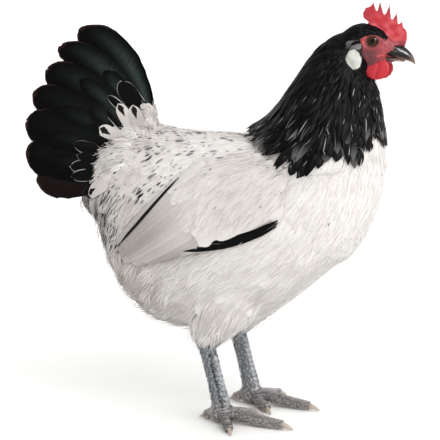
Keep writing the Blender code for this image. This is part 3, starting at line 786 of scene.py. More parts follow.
def side_chart(points):
    """Unwraps a flat tract, such as a wing or a half of the tail, in its own plane."""
    return (points[:, 0] + 200) / 400, (points[:, 2] + np.where(points[:, 1] > 0, 0, 420)) / 840


def vane_object(name, batches, material, chart, nodes=()):
    """One piece of the coat from batches of vanes."""
    points, corners, starts, uvs = [], [], [], []
    marks = {"vane": [], "tint": [], "mark": []}
    first, loops, used = 0, 0, set()
    for batch in batches:
        shaped = batch.shape()
        count, rows, columns, _ = shaped.shape
        c, s = ring_faces(count, rows, columns)
        points.append(shaped.reshape(-1, 3))
        corners.append(c + first)
        starts.append(s + loops)
        first += count * rows * columns
        loops += len(c)
        along = np.broadcast_to(batch.cut.along[:, None], shaped.shape[:3])
        note = {}
        for key in ("dark", "tone", "tick", "lace"):
            value = batch.notes.get(key, np.zeros(count))
            value = value.reshape(value.shape + (1,) * (3 - value.ndim))
            note[key] = np.broadcast_to(value, shaped.shape[:3])
        rows_of = (
            ("vane", (batch.edge, batch.shaft, along * batch.length[:, None, None])),
            ("tint", (note["dark"], note["tone"], along)),
            ("mark", (note["tick"], note["lace"], 0 * along)),
        )
        for key, columns_of in rows_of:
            marks[key].append(np.stack(columns_of, axis=-1).reshape(-1, 3))
        patch = bake_map(batch.roots, chart, used)[:, None, None]
        across = np.broadcast_to((batch.cut.across + 1) / 2, shaped.shape[:3])
        uvs.append((patch + PATCH * np.stack([across, along], axis=-1)).reshape(-1, 2))
    points, corners, starts, uvs = (np.concatenate(part) for part in (points, corners, starts, uvs))
    mesh = bpy.data.meshes.new(name)
    mesh.vertices.add(len(points))
    write(mesh.vertices, "co", points * MM)
    mesh.loops.add(len(corners))
    mesh.loops.foreach_set("vertex_index", corners)
    mesh.polygons.add(len(starts))
    mesh.polygons.foreach_set("loop_start", starts)
    mesh.update(calc_edges=True)
    write(mesh.uv_layers.new(name="OFBake").uv, "vector", uvs[corners])
    for key, parts in marks.items():
        made = mesh.attributes.new(key, "FLOAT_VECTOR", "POINT")
        write(made.data, "vector", np.concatenate(parts))
    mesh.shade_smooth()
    mesh.set_sharp_from_angle(angle=math.radians(60))
    return finish_object(name, mesh, material, nodes)


def finish_object(name, mesh, material, nodes=()):
    """Links a piece, gives it its material and slot, attaches it to the body and hides the nodes it replaces.
    """
    obj = new_object(name, mesh)
    mesh.materials.append(material)
    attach(obj, BODY)
    if nodes:
        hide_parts(*nodes)
    return obj


# ---------------------------------------------------------------- materials


def colour(value):
    """A linear colour from an sRGB hex value."""
    channels = [int(value[i : i + 2], 16) / 255 for i in (1, 3, 5)]
    return (*(c / 12.92 if c <= 0.04045 else ((c + 0.055) / 1.055) ** 2.4 for c in channels), 1.0)


def feed(tree, node, inputs):
    """Sets a node's inputs to values, or links them to sockets or to other nodes' first live outputs."""
    for key, value in inputs.items():
        if isinstance(value, bpy.types.Node):
            value = next(socket for socket in value.outputs if socket.enabled)
        if isinstance(value, bpy.types.NodeSocket):
            tree.links.new(value, node.inputs[key])
        else:
            node.inputs[key].default_value = value


def add(tree, kind, inputs=None, **settings):
    """Adds a node: settings are its properties, inputs its sockets' values or what feeds them."""
    made = tree.nodes.new("ShaderNode" + kind)
    for name, value in settings.items():
        setattr(made, name, value)
    feed(tree, made, inputs or {})
    return made


def surface_of(base, bump=None, roughness=0.5, specular=0.5):
    """The shader's inputs for a base colour and a relief."""
    inputs = {"Base Color": base, "Roughness": roughness, "Specular IOR Level": specular}
    return inputs | ({"Normal": bump} if bump else {})


def feather_keratin(tree, roughness, specular, white, shade, black, sheen, own=7.0):
    """Feather vanes, keratin barbs in soft overlapping sheets: dull white or glossy black, with fine lines
    that slant across each vane and marks that follow its shaft and edge; white vanes carry painted
    shade and black ones a painted sheen."""
    read = {}
    for key in ("vane", "tint", "mark"):
        held = add(tree, "Attribute", attribute_name=key)
        read[key] = add(tree, "SeparateXYZ", {0: held.outputs["Vector"]}).outputs
    edge, shaft, along = read["vane"]
    dark, tone, share = read["tint"]
    tick, lace, _ = read["mark"]
    place = add(tree, "TexCoord").outputs["Object"]
    fine = add(tree, "TexNoise", {"Vector": place, "Scale": 700.0, "Detail": 2.0})
    # Streaks along the barbs, which slant forwards from the shaft.
    slant = add(tree, "Math", {0: shaft, 1: -0.9, 2: along}, operation="MULTIPLY_ADD")
    lines = add(tree, "CombineXYZ", {0: slant, 1: shaft, 2: tone})
    lines = add(tree, "Mapping", {"Vector": lines, "Scale": (0.9, 0.06, own)})
    barbs = add(tree, "TexNoise", {"Vector": lines, "Scale": 1.0, "Detail": 3.0})
    # A dark streak along the shaft near the tip, as wide as the tick value.
    wander = add(tree, "MapRange", {0: fine, 3: 0.4, 4: 1.5})
    off = add(tree, "Math", {0: shaft, 1: wander}, operation="MULTIPLY")
    low = add(tree, "MapRange", {0: share, 1: 0.62, 2: 0.84})
    high = add(tree, "MapRange", {0: share, 1: 0.99, 2: 0.9})
    both = add(tree, "Math", {0: low, 1: high}, operation="MULTIPLY")
    lens = add(tree, "Math", {0: both, 1: tick}, operation="MULTIPLY")
    past = add(tree, "Math", {0: off, 1: lens}, operation="SUBTRACT")
    streak = add(tree, "MapRange", {0: past, 1: -0.05, 2: -0.4})
    # A pale lacing along the edge, as wide as the lace value.
    past = add(tree, "Math", {0: edge, 1: lace}, operation="SUBTRACT")
    rim = add(tree, "MapRange", {0: past, 1: 0.0, 2: -0.3})
    worn = add(tree, "MapRange", {0: fine, 1: 0.3, 2: 0.5, 3: 0.6, 4: 1.0})
    laced = add(tree, "Math", {0: rim, 1: worn}, operation="MULTIPLY")
    black_part = add(tree, "Math", {0: dark, 1: streak}, operation="MAXIMUM")
    left = add(tree, "Math", {0: 1.0, 1: laced}, operation="SUBTRACT")
    black_part = add(tree, "Math", {0: black_part, 1: left}, operation="MULTIPLY")
    # Painted shade: white vanes are greyer where the feathers over them begin, and fine barb lines add to it,
    # both as strong as the tint attribute's second value.
    under = add(tree, "MapRange", {0: share, 1: 0.97, 2: 0.66, 3: 0.75, 4: 1.0})
    hairs = add(tree, "MapRange", {0: barbs, 1: 0.5, 2: 0.7, 3: 0.0, 4: 0.12})
    under = add(tree, "Math", {0: under, 1: hairs}, operation="ADD")
    under = add(tree, "Math", {0: under, 1: tone}, operation="MULTIPLY", use_clamp=True)
    pale = add(tree, "Mix", {0: under, 6: white, 7: shade}, data_type="RGBA")
    # Painted sheen: black vanes are paler along their barbs, as much as the tint attribute's second value
    # says, fading towards their tips.
    glint = add(tree, "MapRange", {0: barbs, 1: 0.15, 2: 0.85})
    inner = add(tree, "MapRange", {0: share, 1: 0.95, 2: 0.5})
    glint = add(tree, "Math", {0: glint, 1: inner}, operation="MULTIPLY")
    glint = add(tree, "Math", {0: glint, 1: tone}, operation="MULTIPLY")
    night = add(tree, "Mix", {0: glint, 6: black, 7: sheen}, data_type="RGBA")
    final = add(tree, "Mix", {0: black_part, 6: pale, 7: night}, data_type="RGBA")
    # The relief of the barbs is drawn 1.1 mm apart, coarser than life, to show.
    turns = add(tree, "Math", {0: slant, 1: 2 * math.pi / 1.1}, operation="MULTIPLY")
    wave = add(tree, "Math", {0: turns}, operation="SINE")
    bump = add(tree, "Bump", {"Height": wave, "Strength": 0.3, "Distance": 0.0002})
    return surface_of(final, bump, roughness, specular)


def white_feather(tree):
    """White vanes, dull, with dark marks and painted shade."""
    coat = bpy.context.scene.hen_coat
    return feather_keratin(tree, 0.7, 0.15, coat.white, coat.shade, coat.black, coat.brown)


def black_feather(tree):
    """Black vanes of the neck and the laced coverts, glossy, with a painted gloss of paler barbs."""
    coat = bpy.context.scene.hen_coat
    return feather_keratin(tree, 0.38, 0.06, coat.lacing, coat.lacing, coat.black, coat.gloss)


def tail_feather(tree):
    """Black vanes of the tail, glossy, with a painted green sheen and worn brown edges."""
    coat = bpy.context.scene.hen_coat
    return feather_keratin(tree, 0.38, 0.04, coat.fringe, coat.fringe, coat.black, coat.green, 0.0)


def hen_skin(tree):
    """Chicken skin, thin and blood-filled: satin red with a fine pebbled grain."""
    paint = add(tree, "Attribute", attribute_name="paint")
    place = add(tree, "TexCoord").outputs["Object"]
    grain = add(tree, "TexVoronoi", {"Vector": place, "Scale": 1300.0})
    # Painted shade: the grain is darker towards the edges of its cells, where its relief sinks between the
    # pebbles.
    shade = add(tree, "MapRange", {0: grain, 2: 0.8, 3: 1.05, 4: 0.93})
    mixed = add(tree, "Mix", {0: 1.0, 6: paint, 7: shade}, data_type="RGBA", blend_type="MULTIPLY")
    bump = add(tree, "Bump", {"Height": grain, "Strength": 0.3, "Distance": -0.0002})
    return surface_of(mixed, bump, 0.5, 0.3)


def leg_scale(tree):
    """Leg scales, hard slate-blue keratin plates with a satin polish, darker towards their rims."""
    held = add(tree, "Attribute", attribute_name="tint")
    dark, tone, _ = add(tree, "SeparateXYZ", {0: held.outputs["Vector"]}).outputs
    held = add(tree, "Attribute", attribute_name="vane")
    edge = add(tree, "SeparateXYZ", {0: held.outputs["Vector"]}).outputs[0]
    place = add(tree, "TexCoord").outputs["Object"]
    cloud = add(tree, "TexNoise", {"Vector": place, "Scale": 260.0, "Detail": 3.0})
    plain = add(tree, "Mix", {0: tone, 6: colour("#60656B"), 7: colour("#9DA1A6")}, data_type="RGBA")
    height = add(tree, "SeparateXYZ", {0: place}).outputs[2]
    foot = add(tree, "MapRange", {0: height, 1: 0.026, 2: 0.004, 3: 0.12, 4: 0.95})
    tan = add(tree, "MapRange", {0: cloud, 1: 0.1, 2: 0.75})
    tan = add(tree, "Math", {0: tan, 1: foot}, operation="MULTIPLY")
    warm = add(tree, "Mix", {0: tan, 6: plain, 7: colour("#B0A196")}, data_type="RGBA")
    spots = add(tree, "Mix", {0: dark, 6: warm, 7: colour("#1C1D20")}, data_type="RGBA")
    rim = add(tree, "MapRange", {0: edge, 1: 0.0, 2: 0.8, 3: 0.5, 4: 1.05})
    final = add(tree, "Mix", {0: 1.0, 6: spots, 7: rim}, data_type="RGBA", blend_type="MULTIPLY")
    bump = add(tree, "Bump", {"Height": cloud, "Strength": 0.2, "Distance": 0.0004})
    return surface_of(final, bump, 0.28)


def bill_horn(tree):
    """Bill keratin, dense polished horn: dark grey-brown, tan along its cutting edge and tip."""
    held = add(tree, "Attribute", attribute_name="paint")
    place = add(tree, "TexCoord").outputs["Object"]
    long = add(tree, "Mapping", {"Vector": place, "Scale": (120.0, 900.0, 900.0)})
    grain = add(tree, "TexNoise", {"Vector": long, "Scale": 1.0, "Detail": 3.0})
    shade = add(tree, "MapRange", {0: grain, 3: 0.7, 4: 1.3})
    mixed = add(tree, "Mix", {0: 1.0, 6: held, 7: shade}, data_type="RGBA", blend_type="MULTIPLY")
    bump = add(tree, "Bump", {"Height": grain, "Strength": 0.15, "Distance": 0.0003})
    return surface_of(mixed, bump, 0.22, 0.22)


def claw_horn(tree):
    """Claw keratin, translucent horn worn smooth: pale brown with lengthwise streaks."""
    place = add(tree, "TexCoord").outputs["Object"]
    grain = add(tree, "TexNoise", {"Vector": place, "Scale": 500.0, "Detail": 3.0})
    mixed = add(tree, "Mix", {0: grain, 6: colour("#7E6F64"), 7: colour("#CDBFAF")}, data_type="RGBA")
    return surface_of(mixed, roughness=0.35)


def wet_eye(tree):
    """A bird's eye, a wet clear cornea over a streaked olive-amber iris and a round black pupil."""
    place = add(tree, "TexCoord").outputs["Object"]
    centre = tuple(-c * MM for c in EYE_CENTRE)
    settings = {"Vector": place, "Location": (centre[0], 0.0, centre[2]), "Scale": (1.0, 0.0, 1.0)}
    disc = add(tree, "Mapping", settings)
    away = add(tree, "VectorMath", {0: disc}, operation="LENGTH").outputs["Value"]
    streaks = add(tree, "TexNoise", {"Vector": disc, "Scale": 1500.0, "Detail": 2.0})
    iris = add(tree, "Mix", {0: streaks, 6: colour("#23180D"), 7: colour("#664726")}, data_type="RGBA")
    rim = add(tree, "MapRange", {0: away, 1: 3.2 * MM, 2: 3.9 * MM})
    dark_rim = add(tree, "Mix", {0: rim, 6: iris, 7: colour("#170D08")}, data_type="RGBA")
    hole = add(tree, "MapRange", {0: away, 1: 2.7 * MM, 2: 2.45 * MM})
    final = add(tree, "Mix", {0: hole, 6: dark_rim, 7: colour("#020202")}, data_type="RGBA")
    return surface_of(final, roughness=0.05, specular=0.16)


def floor_paint(tree):
    """Matt studio floor paint, rolled: pale, with a faint unevenness."""
    place = add(tree, "TexCoord").outputs["Object"]
    cloud = add(tree, "TexNoise", {"Vector": place, "Scale": 6.0})
    mixed = add(tree, "Mix", {0: cloud, 6: colour("#FEFEFD"), 7: colour("#FBFBFA")}, data_type="RGBA")
    return surface_of(mixed, roughness=0.8)


@cache
def material(make):
    """The material named for a function, which adds its nodes and returns the shader's inputs."""
    made = bpy.data.materials.new(make.__name__)
    made.use_nodes = True
    feed(made.node_tree, made.node_tree.nodes["Principled BSDF"], make(made.node_tree))
    return made


# ---------------------------------------------------------------- sizes and colours to change


def dye(name, description, value):
    """A colour to change, given as an sRGB hex value."""
    return FloatVectorProperty(
        name=name, description=description, size=4, subtype="COLOR", default=colour(value)
    )


def span(name, description, value):
    """A length to change, given in millimetres."""
    return FloatProperty(name=name, description=description, default=value * MM, unit="LENGTH")


def tilt(name, description, value):
    """An angle to change, given in degrees."""
    return FloatProperty(name=name, description=description, default=math.radians(value), subtype="ANGLE")


class HenCoat(bpy.types.PropertyGroup):
    body_spacing: span("Body spacing", "Distance between body feathers", 6.3)
    down_spacing: span("Down spacing", "Distance between strands of down", 2.45)
    hackle_spacing: span("Hackle spacing", "Distance between hackle feathers", 4.8)
    white: dye("White", "Outer part of the white feathers", "#E4E0DD")
    # Shade is the colour of the painted shade on white vanes, where others cover them and in the greyer
    # patches.
    shade: dye("Shade", "White feathers where others begin to cover them", "#98918D")
    lacing: dye("Lacing", "Pale edges of the black feathers", "#A5A2A1")
    fringe: dye("Fringe", "Worn brown edges of the tail feathers", "#2A1B19")
    black: dye("Black", "Black feathers", "#040405")
    # Colour of the painted gloss on the barbs of the black neck vanes and laced coverts.
    gloss: dye("Gloss", "Paler barbs of the neck's black feathers", "#242427")
    # Colour of the painted sheen on the tail's black vanes.
    green: dye("Green", "Sheen of the tail feathers", "#3A4541")
    brown: dye("Brown", "Marks in the white feathers", "#14100F")


class HenSkin(bpy.types.PropertyGroup):
    comb: dye("Comb", "Comb and wattles", "#BD2A35")
    face: dye("Face", "Bare face", "#963A40")
    flush: dye("Flush", "Brighter parts of the face", "#CB5053")
    # Colour of the painted highlights on the comb.
    bloom: dye("Bloom", "Paler lumps of the comb", "#E8747B")
    # Tips also colours the painted shade in upright stripes on the comb.
    tips: dye("Tips", "Points of the comb", "#8E3342")
    stubble: dye("Stubble", "Fine dark feathering of the cheek", "#3B3033")
    lid: dye("Lid", "Eyelids", "#3A1A16")
    lobe: dye("Lobe", "Ear lobes", "#CDCEC6")
    # Colour of the painted shade in the ear lobes' hollows.
    folds: dye("Folds", "Hollows of the ear lobes", "#8F8E88")
    body: dye("Body", "Skin and down under the white feathers", "#D8D2CE")
    leg: dye("Leg", "Skin between the leg scales", "#75787C")


class HenStage(bpy.types.PropertyGroup):
    turn: tilt("Turn", "Camera's turn from the bird's right side", 20.0)
    rise: tilt("Rise", "Camera's height as an angle", 10.0)
    distance: span("Distance", "Camera to its target", 1233.0)
    width: span("Width", "Width of the view at the target", 440.0)


# ---------------------------------------------------------------- the skin


def above_collar(points):
    """How far places are past the plane between the neck and the head."""
    place, normal = NECK_CUT
    return (points - np.array(place)) @ np.array(normal)


def bare_face(points):
    """1 on the bare face, 0 where feathers grow."""
    x, _, z = points.T
    behind = ease(x - read_table(FACE_REAR, z), -1.0, 1.0)
    below = np.maximum(ease(read_table(FACE_BROW, x) - z, -0.6, 0.6), ease(x, 169.0, 171.0))
    return behind * below * ease(z, 343.0, 347.0)


def near_bare_parts(points, reach):
    """1 at comb, wattles and lobes, 0 further off than reach."""
    found = np.zeros(len(points))
    high = points[:, 2] > 336
    found[high] = fade(distance_to(points[high], *BARE_PARTS), reach / 2, reach)
    return found


def bill_bed(points):
    """1 where the bill's horn covers the face."""
    x, _, z = points.T
    return ease(x - read_table(BILL_EDGE, z), -0.4, 0.8) * band(z, 357.5, 358.5, 372.5, 374.0)


def coat_depth(points):
    """How far the skin lies inside the outline."""
    x, y, z = points.T
    depth = COAT_DEPTH
    for less, share in (
        (2.5, ease(z, 305, 345) * ease(x, 60, 100)),  # on the neck
        (1.0, ease(above_collar(points), 13.215, 33.215)),  # on the crown
        (1.5, fade(x, -60, -20) * ease(np.abs(y), 52, 60) * fade(z, 190, 215)),  # beside the wings' ends
        (0.35, fade(z, 78, 92)),  # on the legs
    ):
        depth = blend(depth, less, share)
    depth = depth * (1 - bare_face(points)) * (1 - near_bare_parts(points, 3.0))
    return depth + 3.0 * bill_bed(points) * ease(np.abs(y), 1.5, 4.0)


def skin_zone(nodes, voxel, steps, plane=None, side=1):
    """Part of the skin: the solids' common surface, sunk by the coat's depth."""
    bm = bmesh.new()
    for node in nodes:
        other = merged_copy(node)
        if plane and node in TORSO and node != "head":
            cut_off(other, plane, -CUT_MARGIN, side)
            bmesh.ops.holes_fill(other, edges=[e for e in other.edges if e.is_boundary])
        add_mesh(bm, other)
    mesh = remeshed(bm, voxel, steps)
    points = mesh_points(mesh)
    set_mesh_points(mesh, points - mesh_normals(mesh) * (coat_depth(points) + GROW)[:, None])
    return mesh


def cut_off(bm, plane, shift, side=1):
    """Removes what lies behind a plane, or ahead of it for side -1, past a strip as wide as shift."""
    place, normal = Vector(plane[0]), Vector(plane[1]) * side
    geometry = [*bm.verts, *bm.edges, *bm.faces]
    middle = (place + normal * shift) * MM
    bmesh.ops.bisect_plane(bm, geom=geometry, plane_co=middle, plane_no=normal, clear_inner=True)


def eye_ring(points):
    """How far places are from the eye's middle in the side view, where 1 is the edge of its opening."""
    away = (points[:, (0, 2)] - np.array(EYE_CENTRE)[[0, 2]]) / EYE_OPENING
    return np.hypot(*away.T)


def fold_face(points, normals):
    """Raises the lids, the brow and the wrinkles of the bare face and the grain of the comb."""
    x, y, z = points.T
    face = bare_face(points) * ease(np.abs(y), 3, 8)
    ring = eye_ring(points)
    lift = 0.75 * bell(ring, 1.16, 0.15) - 0.45 * bell(ring, 1.5, 0.12) + 0.35 * bell(ring, 1.82, 0.14)
    lift = lift * ease(np.abs(y), 8, 11)
    brow = read_table(FACE_BROW, x) - 1.2
    lift = lift + 0.6 * bell(z, brow, 1.3) * face * band(x, 146, 152, 164, 168)
    gape = bell(z, 363.4 + (x - 170) * 0.25, 0.6) * band(x, 162, 165, 170, 172)
    lift = lift - 0.6 * gape * face
    wattle = fade(distance_to(points, *WATTLES), 0.4, 1.2)
    wrinkles = ripple(points * np.array((1.0, 0.6, 1.6)), 1.5, 5)
    lift = lift + 0.2 * wrinkles * face * ease(ring, 1.9, 2.3) * (1 - wattle)
    comb = fade(distance_to(points, "comb"), 0.4, 1.2) * ease(z, 379, 384)
    front = ease(x, 172, 178) * fade(z, 386, 392)
    ribs = ripple(points * np.array((1.5, 1.0, 0.35)), 2.2, 6)
    lift = lift + comb * (0.08 * ribs + (0.06 + 0.16 * front) * ripple(points, 1.2, 7))
    crease = bell(x, 161.5 + (z - 352.0) * 0.25, 1.5) * band(z, 341, 344, 356, 360)
    lift = lift + wattle * (0.03 * ripple(points, 2.6, 8) - 0.9 * crease)
    lobe = fade(distance_to(points, *LOBES), 0.4, 1.2)
    lift = lift + lobe * 0.14 * ripple(points, 3.4, 9)
    return points + normals * lift[:, None]


def open_eyes(mesh):
    """Cuts the opening between the lids."""
    cutter = bmesh.new()
    for side in SIDES.values():
        ball = bmesh.ops.create_uvsphere(cutter, u_segments=48, v_segments=24, radius=MM)["verts"]
        bmesh.ops.scale(cutter, vec=(EYE_OPENING[0], 6.0, EYE_OPENING[1]), verts=ball)
        centre = Vector((EYE_CENTRE[0], 16.6 * side, EYE_CENTRE[2])) * MM
        bmesh.ops.translate(cutter, vec=centre, verts=ball)
    tool = new_object("cutter", new_mesh("cutter", cutter))

    def set_up(obj):
        step = obj.modifiers.new("opening", "BOOLEAN")
        step.operation = "DIFFERENCE"
        step.object = tool

    made = evaluated(as_bmesh(mesh), set_up)
    bpy.data.meshes.remove(tool.data)
    return made


def join_rims(bm, side=0):
    """Joins two open edges by a strip of faces, on one side of the bird or across it."""
    rims = [e for e in bm.edges if e.is_boundary and (not side or e.verts[0].co.y * side > 0)]
    bmesh.ops.bridge_loops(bm, edges=rims)


def set_paint(mesh, ground, layers):
    """Paints a mesh: a ground colour, and colours laid over it by their shares."""
    paint = np.array(ground)
    for tint, share in layers:
        paint = blend(paint, np.array(tint), share[:, None])
    write(mesh.color_attributes.new("paint", "FLOAT_COLOR", "POINT").data, "color", paint)


def skin_paint(points):
    """The skin's markings: the same black and white as the coat over it, and the bare parts."""
    skin, coat = bpy.context.scene.hen_skin, bpy.context.scene.hen_coat
    x, y, z = points.T
    black = fade(distance_to(points, "neck"), 5.0, 7.0) * ease(z - read_table(HACKLE_EDGE, x), 9, 15)
    black = np.maximum(black, ease(z, 345, 352) * ease(x, 90, 100))
    face = bare_face(points)
    lump = np.clip(ripple(points, 2.2, 21) * 0.5 + 0.5, 0, 1)
    hairs = ease(ripple(points * np.array((2.6, 1.0, 1.1)), 1.3, 23), -0.6, 0.6)
    behind = bell(x, 148.0, 3.6) * bell(z, 375.0, 6.0)
    ahead = bell(x, 168.0, 4.5) * bell(z, 368.0 - (x - 168) * 0.3, 4.0)
    low = fade(z, 366.0, 373.5) * fade(x, 156.0, 167.0)
    lids = fade(eye_ring(points), 1.12, 1.35) * ease(np.abs(y), 8, 11)
    lips = bell(z, 364.4 + (x - 170) * 0.12, 1.2) * band(x, 160, 163, 170, 171.5)
    at_comb = fade(distance_to(points, "comb"), 0.8, 1.6)
    comb = at_comb * ease(z, 376, 379)
    # Painted highlight: paler lumps over the lower comb.
    pale = ease(ripple(points, 5.0, 22), -1.2, 1.6) * fade(z, 392, 408)
    # Painted shade: darker upright stripes on the comb, as in the hollows between its ribs.
    ribs = ease(ripple(points * np.array((1.0, 0.3, 0.22)), 2.6, 25), 0.2, 1.3)
    spikes = ease(z + 0.45 * (x - 160), 400, 412) * ease(x, 152, 158)
    rear = fade(x, 148, 155) * at_comb
    wattle = fade(distance_to(points, *WATTLES), 0.8, 1.6) * fade(z - (x - 160) * 0.4, 359, 362)
    lobe = fade(distance_to(points, *LOBES), 0.5, 1.3)
    return skin.body, (
        (coat.black, black),
        (skin.leg, fade(z, 84, 92)),
        (skin.face, face),
        (skin.flush, face * np.clip(behind * 0.6 + ahead * 0.5, 0, 1) * (0.6 + 0.4 * lump)),
        (skin.stubble, face * low * (0.45 + 0.4 * hairs)),
        (skin.stubble, face * 0.35 * hairs * fade(z, 368, 374) * (1 - low)),
        (skin.lid, lids * 0.85),
        (skin.flush, face * lips * 0.8),
        (skin.comb, comb),
        # Painted highlight on the comb.
        (skin.bloom, comb * 0.5 * pale),
        # Painted shade in upright stripes.
        (skin.tips, comb * 0.2 * ribs * fade(x, 168, 174)),
        (skin.tips, comb * np.clip(0.85 * spikes + 0.35 * rear, 0, 1)),
        (skin.comb, wattle),
        (skin.lobe, lobe),
        # Painted shade: grey blotches on the ear lobes, standing for their hollows.
        (skin.folds, lobe * 0.4 * ease(ripple(points, 4.0, 24), -0.2, 1.4)),
    )


class HEN_OT_skin(bpy.types.Operator):
    """Joins the nodes of flesh under one skin"""

    bl_idname = "hen.skin"
    bl_label = "Skin"

    def execute(self, context):
        head = skin_zone(("head", "neck", "eye_left", "eye_right") + BARE_PARTS, HEAD_VOXEL, 2, NECK_CUT)
        set_mesh_points(head, fold_face(mesh_points(head), mesh_normals(head)))
        whole = as_bmesh(open_eyes(head))
        cut_off(whole, NECK_CUT, 0.0)
        body = as_bmesh(skin_zone(TORSO + WINGS, BODY_VOXEL, 3))
        cut_off(body, NECK_CUT, CUT_GAP, -1)
        add_mesh(whole, body)
        join_rims(whole)
        cut_off(whole, LEG_CUT, CUT_GAP)
        for name, side in SIDES.items():
            leg = as_bmesh(skin_zone(FORMS["leg_" + name][0], LEG_VOXEL, 2, LEG_CUT, -1))
            cut_off(leg, LEG_CUT, 0.0, -1)
            add_mesh(whole, leg)
            join_rims(whole, side)
        bmesh.ops.recalc_face_normals(whole, faces=whole.faces)
        mesh = new_mesh("skin", whole)
        mesh.shade_smooth()
        set_paint(mesh, *skin_paint(mesh_points(mesh)))
        legs = [f"{part}_{name}" for part in ("shank", "foot") for name in SIDES]
        finish_object("skin", mesh, material(hen_skin), (*TORSO, *WINGS, *BARE_PARTS, *legs))
        return {"FINISHED"}


# ---------------------------------------------------------------- head pieces


def sweep(rings):
    """A closed bmesh through rings of points, drawn as a circle and extruded from ring to ring."""
    bm = bmesh.new()
    loop = bmesh.ops.create_circle(bm, segments=len(rings[0]), radius=MM, cap_ends=True)["verts"]
    edges = list(bm.edges)
    for v, place in zip(loop, rings[0]):
        v.co = Vector(place) * MM
    place_of = {v: i for i, v in enumerate(loop)}
    for ring in rings[1:]:
        made = bmesh.ops.extrude_edge_only(bm, edges=edges)["geom"]
        new = [v for v in made if isinstance(v, bmesh.types.BMVert)]
        old_of = {}
        for v in new:
            old_of[v] = next(e.other_vert(v) for e in v.link_edges if e.other_vert(v) in place_of)
        place_of = {v: place_of[old_of[v]] for v in new}
        edges = [e for e in made if isinstance(e, bmesh.types.BMEdge) and all(v in place_of for v in e.verts)]
        for v, i in place_of.items():
            v.co = Vector(ring[i]) * MM
    bmesh.ops.edgeloop_fill(bm, edges=edges)
    bmesh.ops.recalc_face_normals(bm, faces=bm.faces)
    return bm


def smooth_rows(rows, count):
    """count rows along a smooth line through the given rows."""
    rows = np.array(rows, float)
    steps = np.concatenate([[0], np.cumsum(np.linalg.norm(np.diff(rows, axis=0), axis=1))])
    slopes = np.gradient(rows, steps, axis=0)
    found = []
    for at in np.linspace(0, steps[-1], count):
        k = min(int(np.searchsorted(steps, at, side="right")) - 1, len(rows) - 2)
        h = steps[k + 1] - steps[k]
        t = (at - steps[k]) / h
        straight = (2 * t**3 - 3 * t**2 + 1) * rows[k] + (3 * t**2 - 2 * t**3) * rows[k + 1]
        found.append(straight + (t**3 - 2 * t**2 + t) * h * slopes[k] + (t**3 - t**2) * h * slopes[k + 1])
    return found


def bill_rings(table, count, sides, ridge):
    """Rings across the bill: round below and drawn up to a ridge by the given share on top."""
    rings = []
    for x, top, bottom, half in smooth_rows(table, count):
        waist = bottom + (top - bottom) * 0.38
        ring = []
        for i in range(sides):
            turn = 2 * math.pi * i / sides
            up, out = math.sin(turn), math.cos(turn)
            reach = top - waist if up > 0 else waist - bottom
            narrow = 1 - ridge * max(up, 0) ** 2
            ring.append((x, half * out * narrow, waist + reach * up))
        rings.append(ring)
    return rings


def bill_mesh(name, table, ridge):
    """A half of the bill, with its nostril if it is the upper one."""
    mesh = evaluated(sweep(bill_rings(table, 18, 20, ridge)), add_subdivision)
    points, normals = mesh_points(mesh), mesh_normals(mesh)
    x, y, z = points.T
    beside = ease(np.abs(y), 2, 4)
    flap = bell(x, 176.0, 2.4) * bell(z, 370.6, 1.3) * beside
    slit = bell(x, 177.0, 1.7) * bell(z, 368.8, 0.5) * beside
    edge = read_table([(row[0], row[2]) for row in table], x)
    low = np.maximum(fade(z - edge, 0.4, 3.2) * ease(x, 174, 180), ease(x, 188, 194) * 0.6)
    if name == "bill_upper":
        set_mesh_points(mesh, points + normals * (1.3 * flap - 1.2 * slit)[:, None])
    else:
        low = 0.2 + 0.6 * ease(x, 171, 182)
    mesh.shade_smooth()
    layers = (
        # Painted highlight: a paler grey line along the top of the ridge.
        (colour("#8A7A78"), 0.4 * fade(np.abs(y), 0.6, 2.4) * ease(z, 366, 369)),
        (colour("#A08276"), 0.8 * low),
        # Painted shade in the nostril's slit.
        (colour("#14100F"), slit),
    )
    set_paint(mesh, colour("#1D1919"), layers)
    return mesh


def add_subdivision(obj):
    step = obj.modifiers.new("rounded", "SUBSURF")
    step.levels = 1
    step.render_levels = 1


class HEN_OT_bill(bpy.types.Operator):
    """Adds both halves of the bill"""

    bl_idname = "hen.bill"
    bl_label = "Bill"

    def execute(self, context):
        for name, table, ridge in (("bill_upper", UPPER_BILL, 0.35), ("bill_lower", LOWER_BILL, 0.0)):
            mesh = bill_mesh(name, table, ridge)
            finish_object(name + "_horn", mesh, material(bill_horn), (name,))
        return {"FINISHED"}


class HEN_OT_eyes(bpy.types.Operator):
    """Adds the eyeballs between the lids"""

    bl_idname = "hen.eyes"
    bl_label = "Eyes"

    def execute(self, context):
        for name, side in SIDES.items():
            bm = bmesh.new()
            bmesh.ops.create_uvsphere(bm, u_segments=48, v_segments=32, radius=EYE_RADIUS * MM)
            centre = Vector((EYE_CENTRE[0], EYE_CENTRE[1] * side, EYE_CENTRE[2])) * MM
            bmesh.ops.translate(bm, vec=centre, verts=bm.verts)
            mesh = new_mesh("eyeball_" + name, bm)
            mesh.shade_smooth()
            finish_object("eyeball_" + name, mesh, material(wet_eye), ("eye_" + name,))
        return {"FINISHED"}


# ---------------------------------------------------------------- plumage


NECK_PARTS = (("neck",), ("head",), ("trunk", "thigh_left", "thigh_right"))


def grey_clouds(roots, rng):
    """Painted shade on white vanes, in soft patches and more so at the rear, on the saddle and below."""
    x, _, z = roots.T
    cloud = ease(ripple(roots, 13.0, 31), -0.6, 1.4)
    rear, low = fade(x, -100, 30), fade(z, 120, 235)
    top = ease(z, 262, 284) * fade(x, 20, 60)
    shaded = 0.3 * rear + 0.12 * top + cloud * (0.06 + 0.3 * np.maximum(rear, 0.4 * low))
    return np.clip(shaded + rng.normal(0, 0.04, len(roots)), 0, 1)


